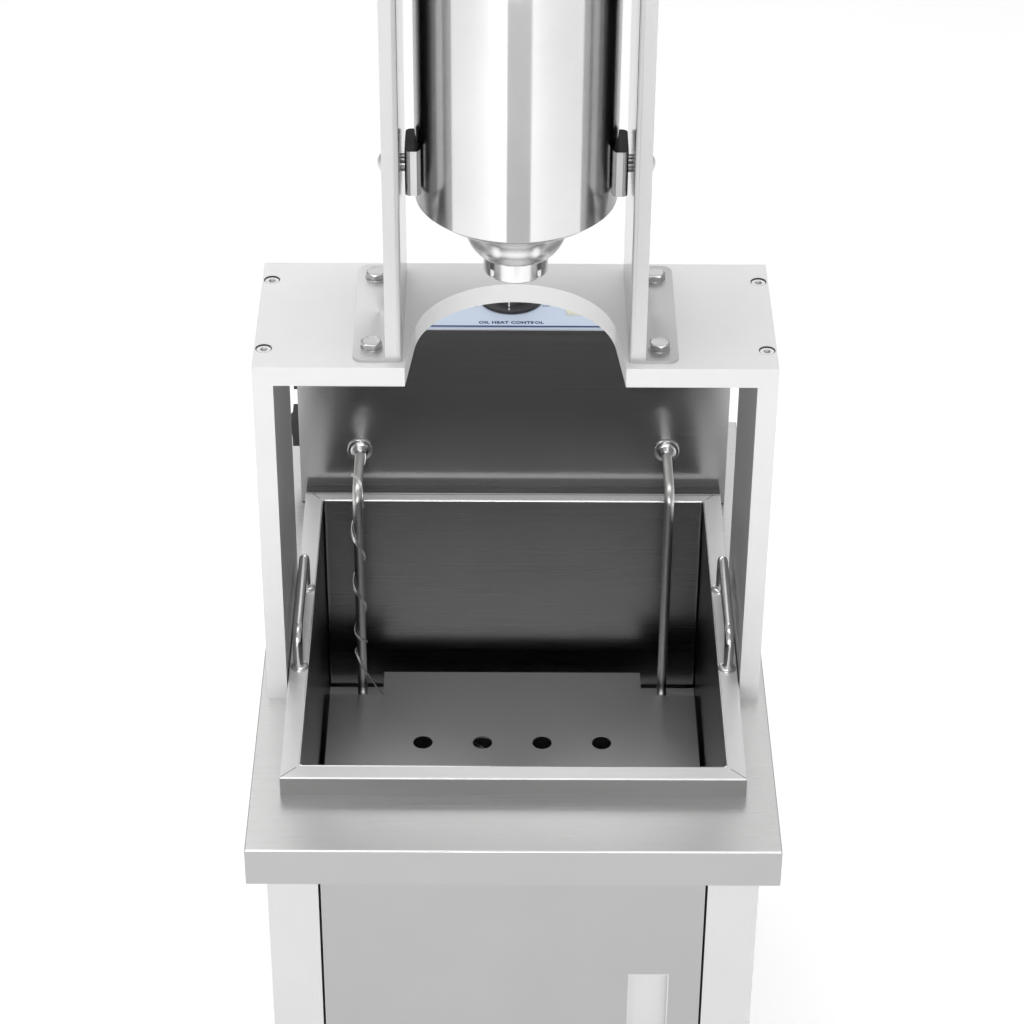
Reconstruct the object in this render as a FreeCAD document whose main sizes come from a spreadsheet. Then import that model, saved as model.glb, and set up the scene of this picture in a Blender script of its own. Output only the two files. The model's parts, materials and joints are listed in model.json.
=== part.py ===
import FreeCAD, Part

import math
import os
import re

import Sketcher

# A floor-standing donut and churro maker: a steel cabinet with a fryer tank in its worktop, a
# control head behind the tank, and an aluminium bridge over it. The bridge carries two uprights
# that hold a tilting dough cylinder and, above it, a rack-and-pinion press turned by a crank.
# X is to the right, Y to the back and Z up. The origin is on the floor under the box's centre.

Vector = FreeCAD.Vector
Rotation = FreeCAD.Rotation
Placement = FreeCAD.Placement

SIZES = {
    # cabinet
    "worktop_width": 485.0,
    "worktop_depth": 700.0,
    "worktop_height": 640.0,
    "worktop_lip": 40.0,
    "worktop_sheet": 1.5,
    "opening_width": 402.0,
    "opening_depth": 435.0,
    "cabinet_width": 450.0,
    "post_width": 46.5,
    "post_depth": 40.0,
    "post_setback": 18.0,
    "post_bottom": 70.0,
    "post_wall": 1.5,
    "post_foot_plate": 3.0,
    "panel_sheet": 1.2,
    "panel_return": 15.0,
    "panel_bottom": 80.0,
    "subframe_height": 30.0,
    "subframe_width": 20.0,
    "foot_pad_radius": 22.0,
    "foot_pad_height": 12.0,
    "foot_stem_radius": 5.0,
    "door_gap": 2.0,
    "door_thickness": 18.0,
    "door_sheet": 1.2,
    "door_bottom": 104.0,
    "door_top": 598.0,
    "hinge_inset": 5.0,
    "hinge_radius": 2.5,
    "hinge_fit": 0.1,
    "pull_width": 110.0,
    "pull_height": 38.0,
    "pull_depth": 14.0,
    "pull_drop": 126.0,
    # bridge and uprights
    "bridge_width": 469.0,
    "bridge_depth": 182.0,
    "bridge_height": 375.0,
    "bridge_plate": 19.5,
    "bridge_side": 18.5,
    "bridge_y": -39.5,
    "arch_mouth": 98.5,
    "arch_radius": 92.0,
    "arch_centre": 52.5,
    "cap_screw_x": 225.5,
    "cap_screw_y": 59.5,
    "cap_head_radius": 6.5,
    "cap_head_height": 8.0,
    "socket_depth": 3.0,
    "cap_shank_radius": 4.0,
    "counterbore_radius": 7.5,
    "counterbore_depth": 9.0,
    "base_screw_x": 219.5,
    "upright_inner": 100.8,
    "upright_sheet": 3.0,
    "upright_foot": 44.7,
    "upright_depth": 165.0,
    "upright_flange": 15.0,
    "upright_bend": 4.5,
    "upright_height": 530.0,
    "upright_bolt_x": 129.0,
    "upright_bolt_y": 60.5,
    "bolt_radius": 5.0,
    "bolt_across_flats": 17.0,
    "bolt_head": 5.6,
    "bolt_length": 18.0,
    "washer_radius": 10.0,
    "washer_sheet": 0.8,
    # dough cylinder, measured from the trunnion axis
    "trunnion_height": 157.0,
    "cylinder_radius": 90.0,
    "cylinder_wall": 2.0,
    "cylinder_bottom": 29.0,
    "cylinder_top": 227.0,
    "bead_radius": 92.5,
    "bead_height": 5.0,
    "funnel_lip": 4.0,
    "funnel_drop": 58.7,
    "neck_radius": 25.0,
    "neck_bore": 22.0,
    "neck_bottom": 101.0,
    "nut_radius": 29.25,
    "nut_top": 88.0,
    "nut_bottom": 107.0,
    "nut_floor": 2.0,
    "nut_mouth": 20.0,
    "thread_fit": 0.06,
    "gasket_height": 1.0,
    "nozzle_height": 3.0,
    "star_points": 8,
    "star_outer": 11.0,
    "star_inner": 7.5,
    "lug_depth": 43.0,
    "lug_height": 44.0,
    "lug_round": 5.0,
    "lug_face": 98.0,
    "pin_radius": 8.0,
    "pin_fit": 0.08,
    "pin_head_radius": 12.0,
    "pin_head_height": 18.5,
    # press: crosshead, rack, piston and crank, measured from the shaft axis
    "shaft_height": 495.0,
    "shaft_y": 27.0,
    "shaft_radius": 8.0,
    "shaft_fit": 0.05,
    "crosshead_bottom": 49.0,
    "crosshead_top": 37.0,
    "crosshead_half_depth": 60.0,
    "housing_half_width": 30.0,
    "housing_front": 24.0,
    "housing_back": 56.0,
    "housing_wall": 7.0,
    "housing_top": 38.0,
    "cover_height": 4.0,
    "bush_radius": 11.0,
    "gear_module": 2.0,
    "gear_teeth": 18,
    "gear_half_width": 8.0,
    "gear_backlash": 0.12,
    "rack_half_width": 8.0,
    "rack_back": 9.0,
    "rack_bottom": 61.0,
    "rack_top": 323.0,
    "guide_fit": 0.15,
    "piston_radius": 87.6,
    "piston_height": 28.0,
    "seal_groove": 84.6,
    "seal_radius": 87.94,
    "crank_x": 128.0,
    "crank_thickness": 8.0,
    "crank_length": 140.0,
    "crank_half_width": 12.0,
    "crank_boss": 16.0,
    "crank_drop": 35.0,
    "grip_pin_radius": 5.0,
    "grip_radius": 14.0,
    "grip_start": 139.0,
    "grip_end": 234.0,
    # fryer tank, measured from the top of its rim
    "tank_y": -42.0,
    "rim_width": 430.0,
    "rim_depth": 461.0,
    "rim_height": 20.0,
    "rim_land": 18.0,
    "tank_sheet": 1.5,
    "tank_depth": 245.0,
    "well_round": 3.5,
    "handle_radius": 4.8,
    "handle_x": 206.0,
    "handle_pitch": 128.0,
    "handle_height": 42.0,
    "handle_bend": 14.0,
    "handle_y": -3.0,
    "guard_width": 384.0,
    "guard_front": 205.0,
    "guard_back": 182.0,
    "guard_notch": 144.0,
    "guard_shoulder": 136.0,
    "guard_depth": 202.0,
    "guard_sheet": 2.0,
    "guard_lip": 30.0,
    "guard_hole_radius": 10.0,
    "guard_hole_x": 61.5,
    "guard_hole_y": 65.0,
    "guard_hole_rows": 5,
    "guard_hole_pitch": 60.0,
    # control head, measured from its front wall and the worktop
    "head_y": 195.0,
    "head_width": 441.0,
    "head_depth": 115.0,
    "head_height": 212.0,
    "head_sheet": 1.5,
    "head_foot": 1.0,
    "hook_reach": 14.0,
    "hook_height": 20.4,
    "label_width": 360.0,
    "label_depth": 106.0,
    "label_front": 2.0,
    "label_sheet": 0.6,
    "dial_x": -3.0,
    "dial_y": 62.0,
    "dial_radius": 33.0,
    "dial_height": 20.0,
    "dial_shaft": 3.0,
    "lamp_x": 68.0,
    "lamp_y": 39.0,
    "lamp_width": 30.0,
    "lamp_depth": 22.0,
    "switch_y": 55.0,
    "switch_z": 60.0,
    "switch_length": 30.0,
    "switch_height": 33.0,
    "switch_proud": 10.0,
    "inlet_y": 55.0,
    "inlet_z": 118.0,
    "inlet_radius": 7.0,
    "cable_radius": 4.0,
    "rocker_radius": 11.4,
    "rocker_face": 7.5,
    "rocker_tilt": 8.0,
    "element_x": 158.0,
    "element_height": 67.0,
    "element_radius": 5.0,
    "element_reach": 78.0,
    "element_bend": 13.0,
    "element_level": 209.3,
    "element_front": 60.0,
    "element_pass": 52.0,
    "fitting_radius": 14.0,
    "fitting_collar": 11.0,
}

doc = FreeCAD.newDocument("donut_maker")
sheet = doc.addObject("Spreadsheet::Sheet", "Sizes")
for row, (alias, number) in enumerate(SIZES.items(), 1):
    sheet.set(f"A{row}", alias)
    sheet.set(f"B{row}", str(number))
    sheet.setAlias(f"B{row}", alias)
doc.recompute()

PARTS = []
counter = {}


def link(text):
    """Turn the named sizes in an expression into references to the sheet's cells."""
    def cell(found):
        word = found.group(0)
        return "Sizes." + word if word in SIZES else word

    return re.sub(r"[a-z_]+[a-z_0-9]*", cell, text)


def unique(name):
    counter[name] = counter.get(name, 0) + 1
    return f"{name}_{counter[name]}"


def bind(item, **sizes):
    for name, text in sizes.items():
        item.setExpression(name, link(str(text)))
    return item


def at(item, x="0", y="0", z="0", turn=None):
    """Place an object; its position is bound, its rotation is fixed."""
    if turn is not None:
        item.Placement = Placement(Vector(), turn)
    for axis, text in zip("xyz", (x, y, z)):
        item.setExpression(f"Placement.Base.{axis}", link(str(text)))
    return item


def span(side, low, high):
    """A low and high pair on the right (side 1) or mirrored to the left (side -1)."""
    return (low, high) if side > 0 else (f"-({high})", f"-({low})")


def box(x, y, z):
    item = doc.addObject("Part::Box", unique("block"))
    bind(item, Length=f"({x[1]})-({x[0]})", Width=f"({y[1]})-({y[0]})", Height=f"({z[1]})-({z[0]})")
    return at(item, x[0], y[0], z[0])


TURNS = {"x": Rotation(Vector(0, 1, 0), 90), "y": Rotation(Vector(1, 0, 0), -90), "z": Rotation()}


def rod(radius, ends, centre=("0", "0"), axis="z"):
    """A round bar along an axis; centre holds its two other coordinates in X, Y, Z order."""
    item = doc.addObject("Part::Cylinder", unique("rod"))
    bind(item, Radius=radius, Height=f"({ends[1]})-({ends[0]})")
    places = list(centre)
    places.insert("xyz".index(axis), ends[0])
    return at(item, *places, turn=TURNS[axis])


def hexagon(across_flats, ends, centre=("0", "0"), axis="z"):
    item = doc.addObject("Part::Prism", unique("hexagon"))
    item.Polygon = 6
    bind(item, Circumradius=f"({across_flats})/sqrt(3)", Height=f"({ends[1]})-({ends[0]})")
    places = list(centre)
    places.insert("xyz".index(axis), ends[0])
    return at(item, *places, turn=TURNS[axis])


def join(*items):
    if len(items) == 1:
        return items[0]
    item = doc.addObject("Part::MultiFuse", unique("join"))
    item.Shapes = list(items)
    item.Refine = True
    return item


def cut(base, *tools):
    item = doc.addObject("Part::Cut", unique("cut"))
    item.Base = base
    item.Tool = join(*tools)
    return item


def group(*items):
    item = doc.addObject("Part::Compound", unique("group"))
    item.Links = list(items)
    return item


def size(name):
    return SIZES[name]


def rounded(base, radius, chosen):
    """Round the edges of a base that pass the test, with a radius from the sheet or a number."""
    doc.recompute()
    item = doc.addObject("Part::Fillet", unique("round"))
    item.Base = base
    item.Edges = [(n, radius, radius) for n, edge in enumerate(base.Shape.Edges, 1) if chosen(edge)]
    return item


def runs_along(edge, axis):
    if not isinstance(edge.Curve, Part.Line):
        return False
    way = edge.Vertexes[-1].Point - edge.Vertexes[0].Point
    way.normalize()
    return abs(way.dot(axis)) > 0.999


def outline_body(outline, plane):
    """A body with one closed sketch of straight lines; each corner is held by two bound sizes."""
    body = doc.addObject("PartDesign::Body", unique("body"))
    sketch = body.newObject("Sketcher::SketchObject", unique("sketch"))
    origin = next(f for f in body.Origin.OriginFeatures if f.Role == plane)
    sketch.AttachmentSupport = [(origin, "")]
    sketch.MapMode = "FlatFace"
    count = len(outline)
    start = [Vector(10 * math.cos(2 * math.pi * n / count), 10 * math.sin(2 * math.pi * n / count), 0)
             for n in range(count)]
    for n in range(count):
        sketch.addGeometry(Part.LineSegment(start[n], start[(n + 1) % count]), False)
    for n in range(count):
        sketch.addConstraint(Sketcher.Constraint("Coincident", n, 2, (n + 1) % count, 1))
    for n, corner in enumerate(outline):
        for kind, axis, text in zip(("DistanceX", "DistanceY"), (-2, -1), corner):
            if str(text) == "0":
                sketch.addConstraint(Sketcher.Constraint("PointOnObject", n, 1, axis))
                continue
            place = sketch.addConstraint(Sketcher.Constraint(kind, -1, 1, n, 1, 5.0))
            sketch.setExpression(f"Constraints[{place}]", link(str(text)))
    doc.recompute()
    return body, sketch


def lathe(outline):
    """Turn a closed outline of (radius, height) corners about Z."""
    body, sketch = outline_body(outline, "XZ_Plane")
    turn = body.newObject("PartDesign::Revolution", unique("turn"))
    turn.Profile = sketch
    turn.ReferenceAxis = (sketch, ["V_Axis"])
    turn.Angle = 360
    body.Tip = turn
    return body


def ring(inner, outer, low, high):
    return lathe([(inner, low), (outer, low), (outer, high), (inner, high)])


def plate(outline, thickness):
    """A flat plate: a closed outline in X and Y, padded up from Z = 0."""
    body, sketch = outline_body(outline, "XY_Plane")
    pad = body.newObject("PartDesign::Pad", unique("pad"))
    pad.Profile = sketch
    bind(pad, Length=thickness)
    body.Tip = pad
    return body


def shell(x, y, z, wall, open_sides=""):
    """A sheet-metal box; each letter in open_sides (x X y Y z Z) removes the low or high wall."""
    inner = []
    for letter, (low, high) in zip("xyz", (x, y, z)):
        low_text = f"({low})-1" if letter in open_sides else f"({low})+({wall})"
        high_text = f"({high})+1" if letter.upper() in open_sides else f"({high})-({wall})"
        inner.append((low_text, high_text))
    return cut(box(x, y, z), box(*inner))


def bent_rod(points, radius, bend):
    """A round bar through a list of corners, with an arc of the same radius at every corner."""
    corners = [Vector(*p) for p in points]
    edges = []
    last = corners[0]
    for before, corner, after in zip(corners, corners[1:], corners[2:]):
        back = (before - corner).normalize()
        ahead = (after - corner).normalize()
        half = math.acos(max(-1.0, min(1.0, back.dot(ahead)))) / 2
        reach = bend / math.tan(half)
        first = corner + back * reach
        final = corner + ahead * reach
        middle = (back + ahead).normalize()
        top = corner + middle * (bend / math.sin(half) - bend)
        edges.append(Part.LineSegment(last, first).toShape())
        edges.append(Part.Arc(first, top, final).toShape())
        last = final
    edges.append(Part.LineSegment(last, corners[-1]).toShape())
    path = Part.Wire(edges)
    way = (corners[1] - corners[0]).normalize()
    section = Part.Wire(Part.Circle(corners[0], way, radius).toShape())
    solid = path.makePipeShell([section], True, False)
    item = doc.addObject("Part::Feature", unique("bent_rod"))
    item.Shape = solid
    return item


def part(name, item, x="0", y="0", z="0"):
    """Name a finished sub-part and place it in the assembly."""
    item.Label = name
    at(item, x, y, z)
    PARTS.append((name, item))
    return item


SIDES = ((-1, "left"), (1, "right"))
ENDS = ((-1, "front"), (1, "rear"))
Z_AXIS = Vector(0, 0, 1)
Y_AXIS = Vector(0, 1, 0)
X_AXIS = Vector(1, 0, 0)


# ---------------------------------------------------------------- cabinet

def make_worktop():
    """The folded top: a tray upside down, with the tank's opening."""
    top = shell(("-worktop_width/2", "worktop_width/2"), ("-worktop_depth/2", "worktop_depth/2"),
                ("-worktop_lip", "0"), "worktop_sheet", "z")
    opening = box(("-opening_width/2", "opening_width/2"),
                  ("tank_y-opening_depth/2", "tank_y+opening_depth/2"), ("-10", "10"))
    holes = [rod("3.5", ("-10", "10"), (f"{side}*base_screw_x", f"bridge_y+{end}*cap_screw_y"))
             for side, _ in SIDES for end, _ in ENDS]
    body = cut(top, opening, *holes)
    half = size("worktop_width") / 2
    deep = size("worktop_depth") / 2

    def outer_edge(edge):
        box_ = edge.BoundBox
        on_side = abs(abs(box_.Center.x) - half) < 0.01
        on_end = abs(abs(box_.Center.y) - deep) < 0.01
        upright = runs_along(edge, Z_AXIS) and on_side and on_end
        return upright or (abs(box_.Center.z) < 0.01 and (on_side or on_end) and box_.ZLength < 0.01)

    part("worktop", rounded(body, 1.4, outer_edge), z="worktop_height")


def make_cabinet():
    inner_x = "cabinet_width/2-post_width"
    front = "-worktop_depth/2+post_setback"
    top = "worktop_height-worktop_sheet"
    panel_top = f"{top}-subframe_height"
    for side, side_name in SIDES:
        for end, end_name in ENDS:
            x = span(side, inner_x, "cabinet_width/2")
            y = span(end, "worktop_depth/2-post_setback-post_depth", "worktop_depth/2-post_setback")
            tube = shell(x, y, ("post_bottom-post_foot_plate", top), "post_wall", "Z")
            stem = rod("foot_stem_radius", ("0", "post_bottom+20"),
                       (f"{side}*(cabinet_width/2-post_width/2)",
                        f"{end}*(worktop_depth/2-post_setback-post_depth/2)"))
            part(f"post_{end_name}_{side_name}", cut(tube, stem))
        x = span(side, "cabinet_width/2-panel_return", "cabinet_width/2")
        y = ("-worktop_depth/2+post_setback+post_depth", "worktop_depth/2-post_setback-post_depth")
        open_side = "xyY" if side > 0 else "XyY"
        panel = shell(x, y, ("panel_bottom", panel_top), "panel_sheet", open_side)
        part(f"side_panel_{side_name}", panel)
    between = (f"-({inner_x})", inner_x)
    back = shell(between, ("worktop_depth/2-post_setback-panel_return", "worktop_depth/2-post_setback"),
                 ("panel_bottom", panel_top), "panel_sheet", "y")
    slots = [box(("-60", "60"), ("0", "worktop_depth/2"), (f"{420 + 18 * n}", f"{426 + 18 * n}"))
             for n in range(6)]
    part("back_panel", cut(back, *slots))
    floor = shell(("-cabinet_width/2+panel_sheet", "cabinet_width/2-panel_sheet"),
                  ("-worktop_depth/2+post_setback+post_depth", "worktop_depth/2-post_setback-post_depth"),
                  ("panel_bottom+panel_sheet", "panel_bottom+panel_sheet+panel_return"), "panel_sheet", "Z")
    kick = shell(between, (front, "-worktop_depth/2+post_setback+post_depth"),
                 ("post_bottom", "door_bottom-door_gap"), "panel_sheet", "z")
    pin_hole = rod("hinge_radius+hinge_fit", ("post_bottom", "door_bottom+5"),
                   (f"-({inner_x})+door_gap+hinge_inset", f"{front}+hinge_inset"))
    part("cabinet_floor", cut(join(floor, kick), pin_hole))


def make_subframe():
    """A welded ring under the worktop: a channel along each side and a box section at each end."""
    low = "worktop_height-worktop_sheet-subframe_height"
    top = "worktop_height-worktop_sheet"
    inner_x = "cabinet_width/2-post_width"
    front = "-worktop_depth/2+post_setback"
    side_x = "cabinet_width/2-panel_sheet"
    end_y = "worktop_depth/2-post_setback-post_depth"
    ring_outer = box((f"-({side_x})", side_x), (f"-({end_y})", end_y), (low, top))
    ring_inner = box((f"-({side_x})+subframe_width+post_wall", f"{side_x}-subframe_width-post_wall"),
                     (f"-({end_y})+2*post_wall", f"{end_y}-2*post_wall"), (f"{low}-1", f"{top}+1"))
    pockets = [box(span(side, f"{side_x}-subframe_width", f"{side_x}+1"), (f"-({end_y})+6", f"{end_y}-6"),
                   (f"{low}-1", f"{top}-post_wall")) for side, _ in SIDES]
    holes = [rod("3.5", (f"{top}-5", f"{top}+1"), (f"{side}*base_screw_x", f"bridge_y+{end}*cap_screw_y"))
             for side, _ in SIDES for end, _ in ENDS]
    ring_frame = cut(ring_outer, ring_inner, *pockets, *holes)
    bars = []
    for end, _ in ENDS:
        solid = box((f"-({inner_x})", inner_x), span(end, f"{end_y}-1", f"{end_y}+post_depth"), (low, top))
        hollow = box((f"-({inner_x})-1", f"{inner_x}+1"),
                     span(end, f"{end_y}+post_wall", f"{end_y}+post_depth-post_wall"),
                     (f"{low}+post_wall", f"{top}-post_wall"))
        bars.append(cut(solid, hollow))
    pin_hole = rod("hinge_radius+hinge_fit", (f"{low}-5", f"{low}+5"),
                   (f"-({inner_x})+door_gap+hinge_inset", f"{front}+hinge_inset"))
    part("worktop_subframe", cut(join(ring_frame, *bars), pin_hole))


def make_feet():
    feet = []
    for side, _ in SIDES:
        for end, _ in ENDS:
            foot = lathe([("0", "0"), ("foot_pad_radius", "0"), ("foot_pad_radius", "4"),
                          ("foot_stem_radius+4", "foot_pad_height"),
                          ("foot_stem_radius", "foot_pad_height"),
                          ("foot_stem_radius", "post_bottom+10"), ("0", "post_bottom+10")])
            nut_top = "post_bottom-post_foot_plate"
            nut = hexagon("bolt_across_flats", (f"{nut_top}-8", nut_top))
            both = join(foot, nut)
            feet.append(at(both, f"{side}*(cabinet_width/2-post_width/2)",
                           f"{end}*(worktop_depth/2-post_setback-post_depth/2)"))
    part("levelling_feet", group(*feet))


def make_door():
    """A pan-shaped door between the front posts, turning on two short pins at its left edge."""
    half = "cabinet_width/2-post_width-door_gap"
    front = "-worktop_depth/2+post_setback"
    x = (f"-({half})", half)
    pan = shell(x, (front, f"{front}+door_thickness"), ("door_bottom", "door_top"), "door_sheet", "Y")
    pull_x = (f"{half}-30-pull_height", f"{half}-30")
    pull_z = ("door_top-pull_drop-pull_width", "door_top-pull_drop")
    hole = box(pull_x, (f"{front}-1", f"{front}+door_sheet+1"), pull_z)
    pivot = (f"-({half})+hinge_inset", f"{front}+hinge_inset")
    bores = [rod("hinge_radius", ("door_bottom-1", "door_top+1"), pivot)]
    body = cut(pan, hole, *bores)
    corner = -(size("cabinet_width") / 2 - size("post_width") - size("door_gap"))
    face = -size("worktop_depth") / 2 + size("post_setback")

    def swing_edge(edge):
        middle = edge.BoundBox.Center
        at_corner = abs(abs(middle.x) + corner) < 0.01 and abs(middle.y - face) < 0.01
        return runs_along(edge, Z_AXIS) and at_corner

    part("door", rounded(body, 1.1, swing_edge))
    cup = shell(pull_x, (front, f"{front}+pull_depth"), pull_z, "door_sheet", "y")
    part("door_cup_pull", cup)
    pins = [rod("hinge_radius", ends, pivot) for ends in
            (("door_bottom-door_gap-3", "door_bottom+12"), ("door_top-12", "door_top+door_gap+12"))]
    part("door_hinge_pins", group(*pins))


# ---------------------------------------------------------------- bridge

BRIDGE_Z = "worktop_height+bridge_height"


def make_bridge():
    """Two thick side plates stand on the worktop and carry a top plate with an open arch."""
    half_depth = "bridge_depth/2"
    slab = box(("-bridge_width/2", "bridge_width/2"), (f"-{half_depth}", half_depth),
               ("-bridge_plate", "0"))
    centre = size("arch_centre")
    mouth = size("arch_mouth")
    radius = size("arch_radius")
    far = math.hypot(mouth, centre)
    angle = math.atan2(centre, -mouth) - math.asin(radius / far)
    reach = math.sqrt(far * far - radius * radius)
    touch = Vector(mouth + reach * math.cos(angle), reach * math.sin(angle), 0)
    mouth_solid = plate([("-arch_mouth", "-bridge_depth/2-0.001"), ("arch_mouth", "-bridge_depth/2-0.001"),
                         (f"{touch.x}", f"-bridge_depth/2+{touch.y}"),
                         (f"-{touch.x}", f"-bridge_depth/2+{touch.y}")], "bridge_plate+2")
    at(mouth_solid, z="-bridge_plate-1")
    bay = rod("arch_radius", ("-bridge_plate-1", "1"), ("0", "-bridge_depth/2+arch_centre"))
    holes = []
    for side, _ in SIDES:
        for end, _ in ENDS:
            here = (f"{side}*cap_screw_x", f"{end}*cap_screw_y")
            holes.append(rod("cap_shank_radius+0.25", ("-bridge_plate-1", "1"), here))
            holes.append(rod("counterbore_radius", ("-counterbore_depth", "1"), here))
            holes.append(rod("bolt_radius", ("-bridge_plate-1", "1"),
                             (f"{side}*upright_bolt_x", f"{end}*upright_bolt_y")))
    body = cut(slab, mouth_solid, bay, *holes)
    part("bridge_top_plate", body, y="bridge_y", z=BRIDGE_Z)
    for side, name in SIDES:
        x = span(side, "bridge_width/2-bridge_side", "bridge_width/2")
        side_plate = box(x, (f"-{half_depth}", half_depth), ("-bridge_height", "-bridge_plate"))
        bores = []
        for end, _ in ENDS:
            bores.append(rod("cap_shank_radius", ("-bridge_plate-26", "0"),
                             (f"{side}*cap_screw_x", f"{end}*cap_screw_y")))
            bores.append(rod("3", ("-bridge_height-1", "-bridge_height+22"),
                             (f"{side}*base_screw_x", f"{end}*cap_screw_y")))
        part(f"bridge_side_plate_{name}", cut(side_plate, *bores), y="bridge_y", z=BRIDGE_Z)


def make_bridge_fasteners():
    caps = []
    bases = []
    for side, _ in SIDES:
        for end, _ in ENDS:
            here = (f"{side}*cap_screw_x", f"{end}*cap_screw_y")
            head = rod("cap_head_radius",
                       ("-counterbore_depth", "-counterbore_depth+cap_head_height"), here)
            shank = rod("cap_shank_radius", ("-bridge_plate-24", "-counterbore_depth"), here)
            socket = hexagon("6", ("-counterbore_depth+cap_head_height-socket_depth", "0"), here)
            caps.append(cut(join(head, shank), socket))
            there = (f"{side}*base_screw_x", f"{end}*cap_screw_y")
            low = "-bridge_height-worktop_sheet-post_wall"
            base_shank = rod("3", (low, "-bridge_height+20"), there)
            base_head = hexagon("10", (f"{low}-4", low), there)
            bases.append(join(base_shank, base_head))
    part("bridge_cap_screws", group(*caps), y="bridge_y", z=BRIDGE_Z)
    part("bridge_base_screws", group(*bases), y="bridge_y", z=BRIDGE_Z)


CROSSHEAD_DROP = "(crosshead_bottom+crosshead_top)/2"


def make_uprights():
    """Folded channels: a foot plate outwards, a tall web, and a flange along each of its edges."""
    for side, name in SIDES:
        foot = box(span(side, "upright_inner", "upright_inner+upright_foot"),
                   ("-upright_depth/2", "upright_depth/2"), ("0", "upright_sheet"))
        outer = side * (size("upright_inner") + size("upright_foot"))

        def outer_edge(edge):
            return runs_along(edge, Z_AXIS) and abs(edge.BoundBox.Center.x - outer) < 0.01

        foot = rounded(foot, 9.0, outer_edge)
        web_x = span(side, "upright_inner", "upright_inner+upright_sheet")
        web = box(web_x, ("-upright_depth/2", "upright_depth/2"), ("0", "upright_height"))
        flange_x = span(side, "upright_inner", "upright_inner+upright_flange")
        flanges = [box(flange_x, span(end, "upright_depth/2-upright_sheet", "upright_depth/2"),
                       ("0", "upright_height"))
                   for end, _ in ENDS]
        across = ("-upright_inner-50", "upright_inner+50")
        holes = [rod("pin_radius+pin_fit", across, ("0", "trunnion_height"), "x")]
        if side > 0:
            holes.append(rod("shaft_radius+1", across, ("shaft_y", "shaft_height"), "x"))
        for end, _ in ENDS:
            holes.append(rod("bolt_radius+0.25", ("-1", "upright_sheet+1"),
                             (f"{side}*upright_bolt_x", f"{end}*upright_bolt_y")))
            holes.append(rod("3.25", across, (f"{end}*40", f"shaft_height-{CROSSHEAD_DROP}"), "x"))
        folded = join(foot, web, *flanges)
        inner = side * size("upright_inner")
        height = size("upright_height")

        def fold(edge, inner=inner, height=height):
            middle = edge.BoundBox.Center
            return (runs_along(edge, Z_AXIS) and abs(middle.x - inner) < 0.01
                    and abs(edge.Length - height) < 0.01)

        part(f"upright_{name}", cut(rounded(folded, size("upright_bend"), fold), *holes), y="bridge_y", z=BRIDGE_Z)
    bolts = []
    for side, _ in SIDES:
        for end, _ in ENDS:
            here = (f"{side}*upright_bolt_x", f"{end}*upright_bolt_y")
            seat = "upright_sheet+washer_sheet"
            head = hexagon("bolt_across_flats", (seat, f"{seat}+bolt_head"), here)
            washer = rod("washer_radius", ("upright_sheet", seat), here)
            shank = rod("bolt_radius", ("-bolt_length", seat), here)
            bolts.append(join(head, washer, shank))
    part("upright_bolts", group(*bolts), y="bridge_y", z=BRIDGE_Z)


# ---------------------------------------------------------------- dough cylinder

TRUNNION_Z = "worktop_height+bridge_height+trunnion_height"


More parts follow.
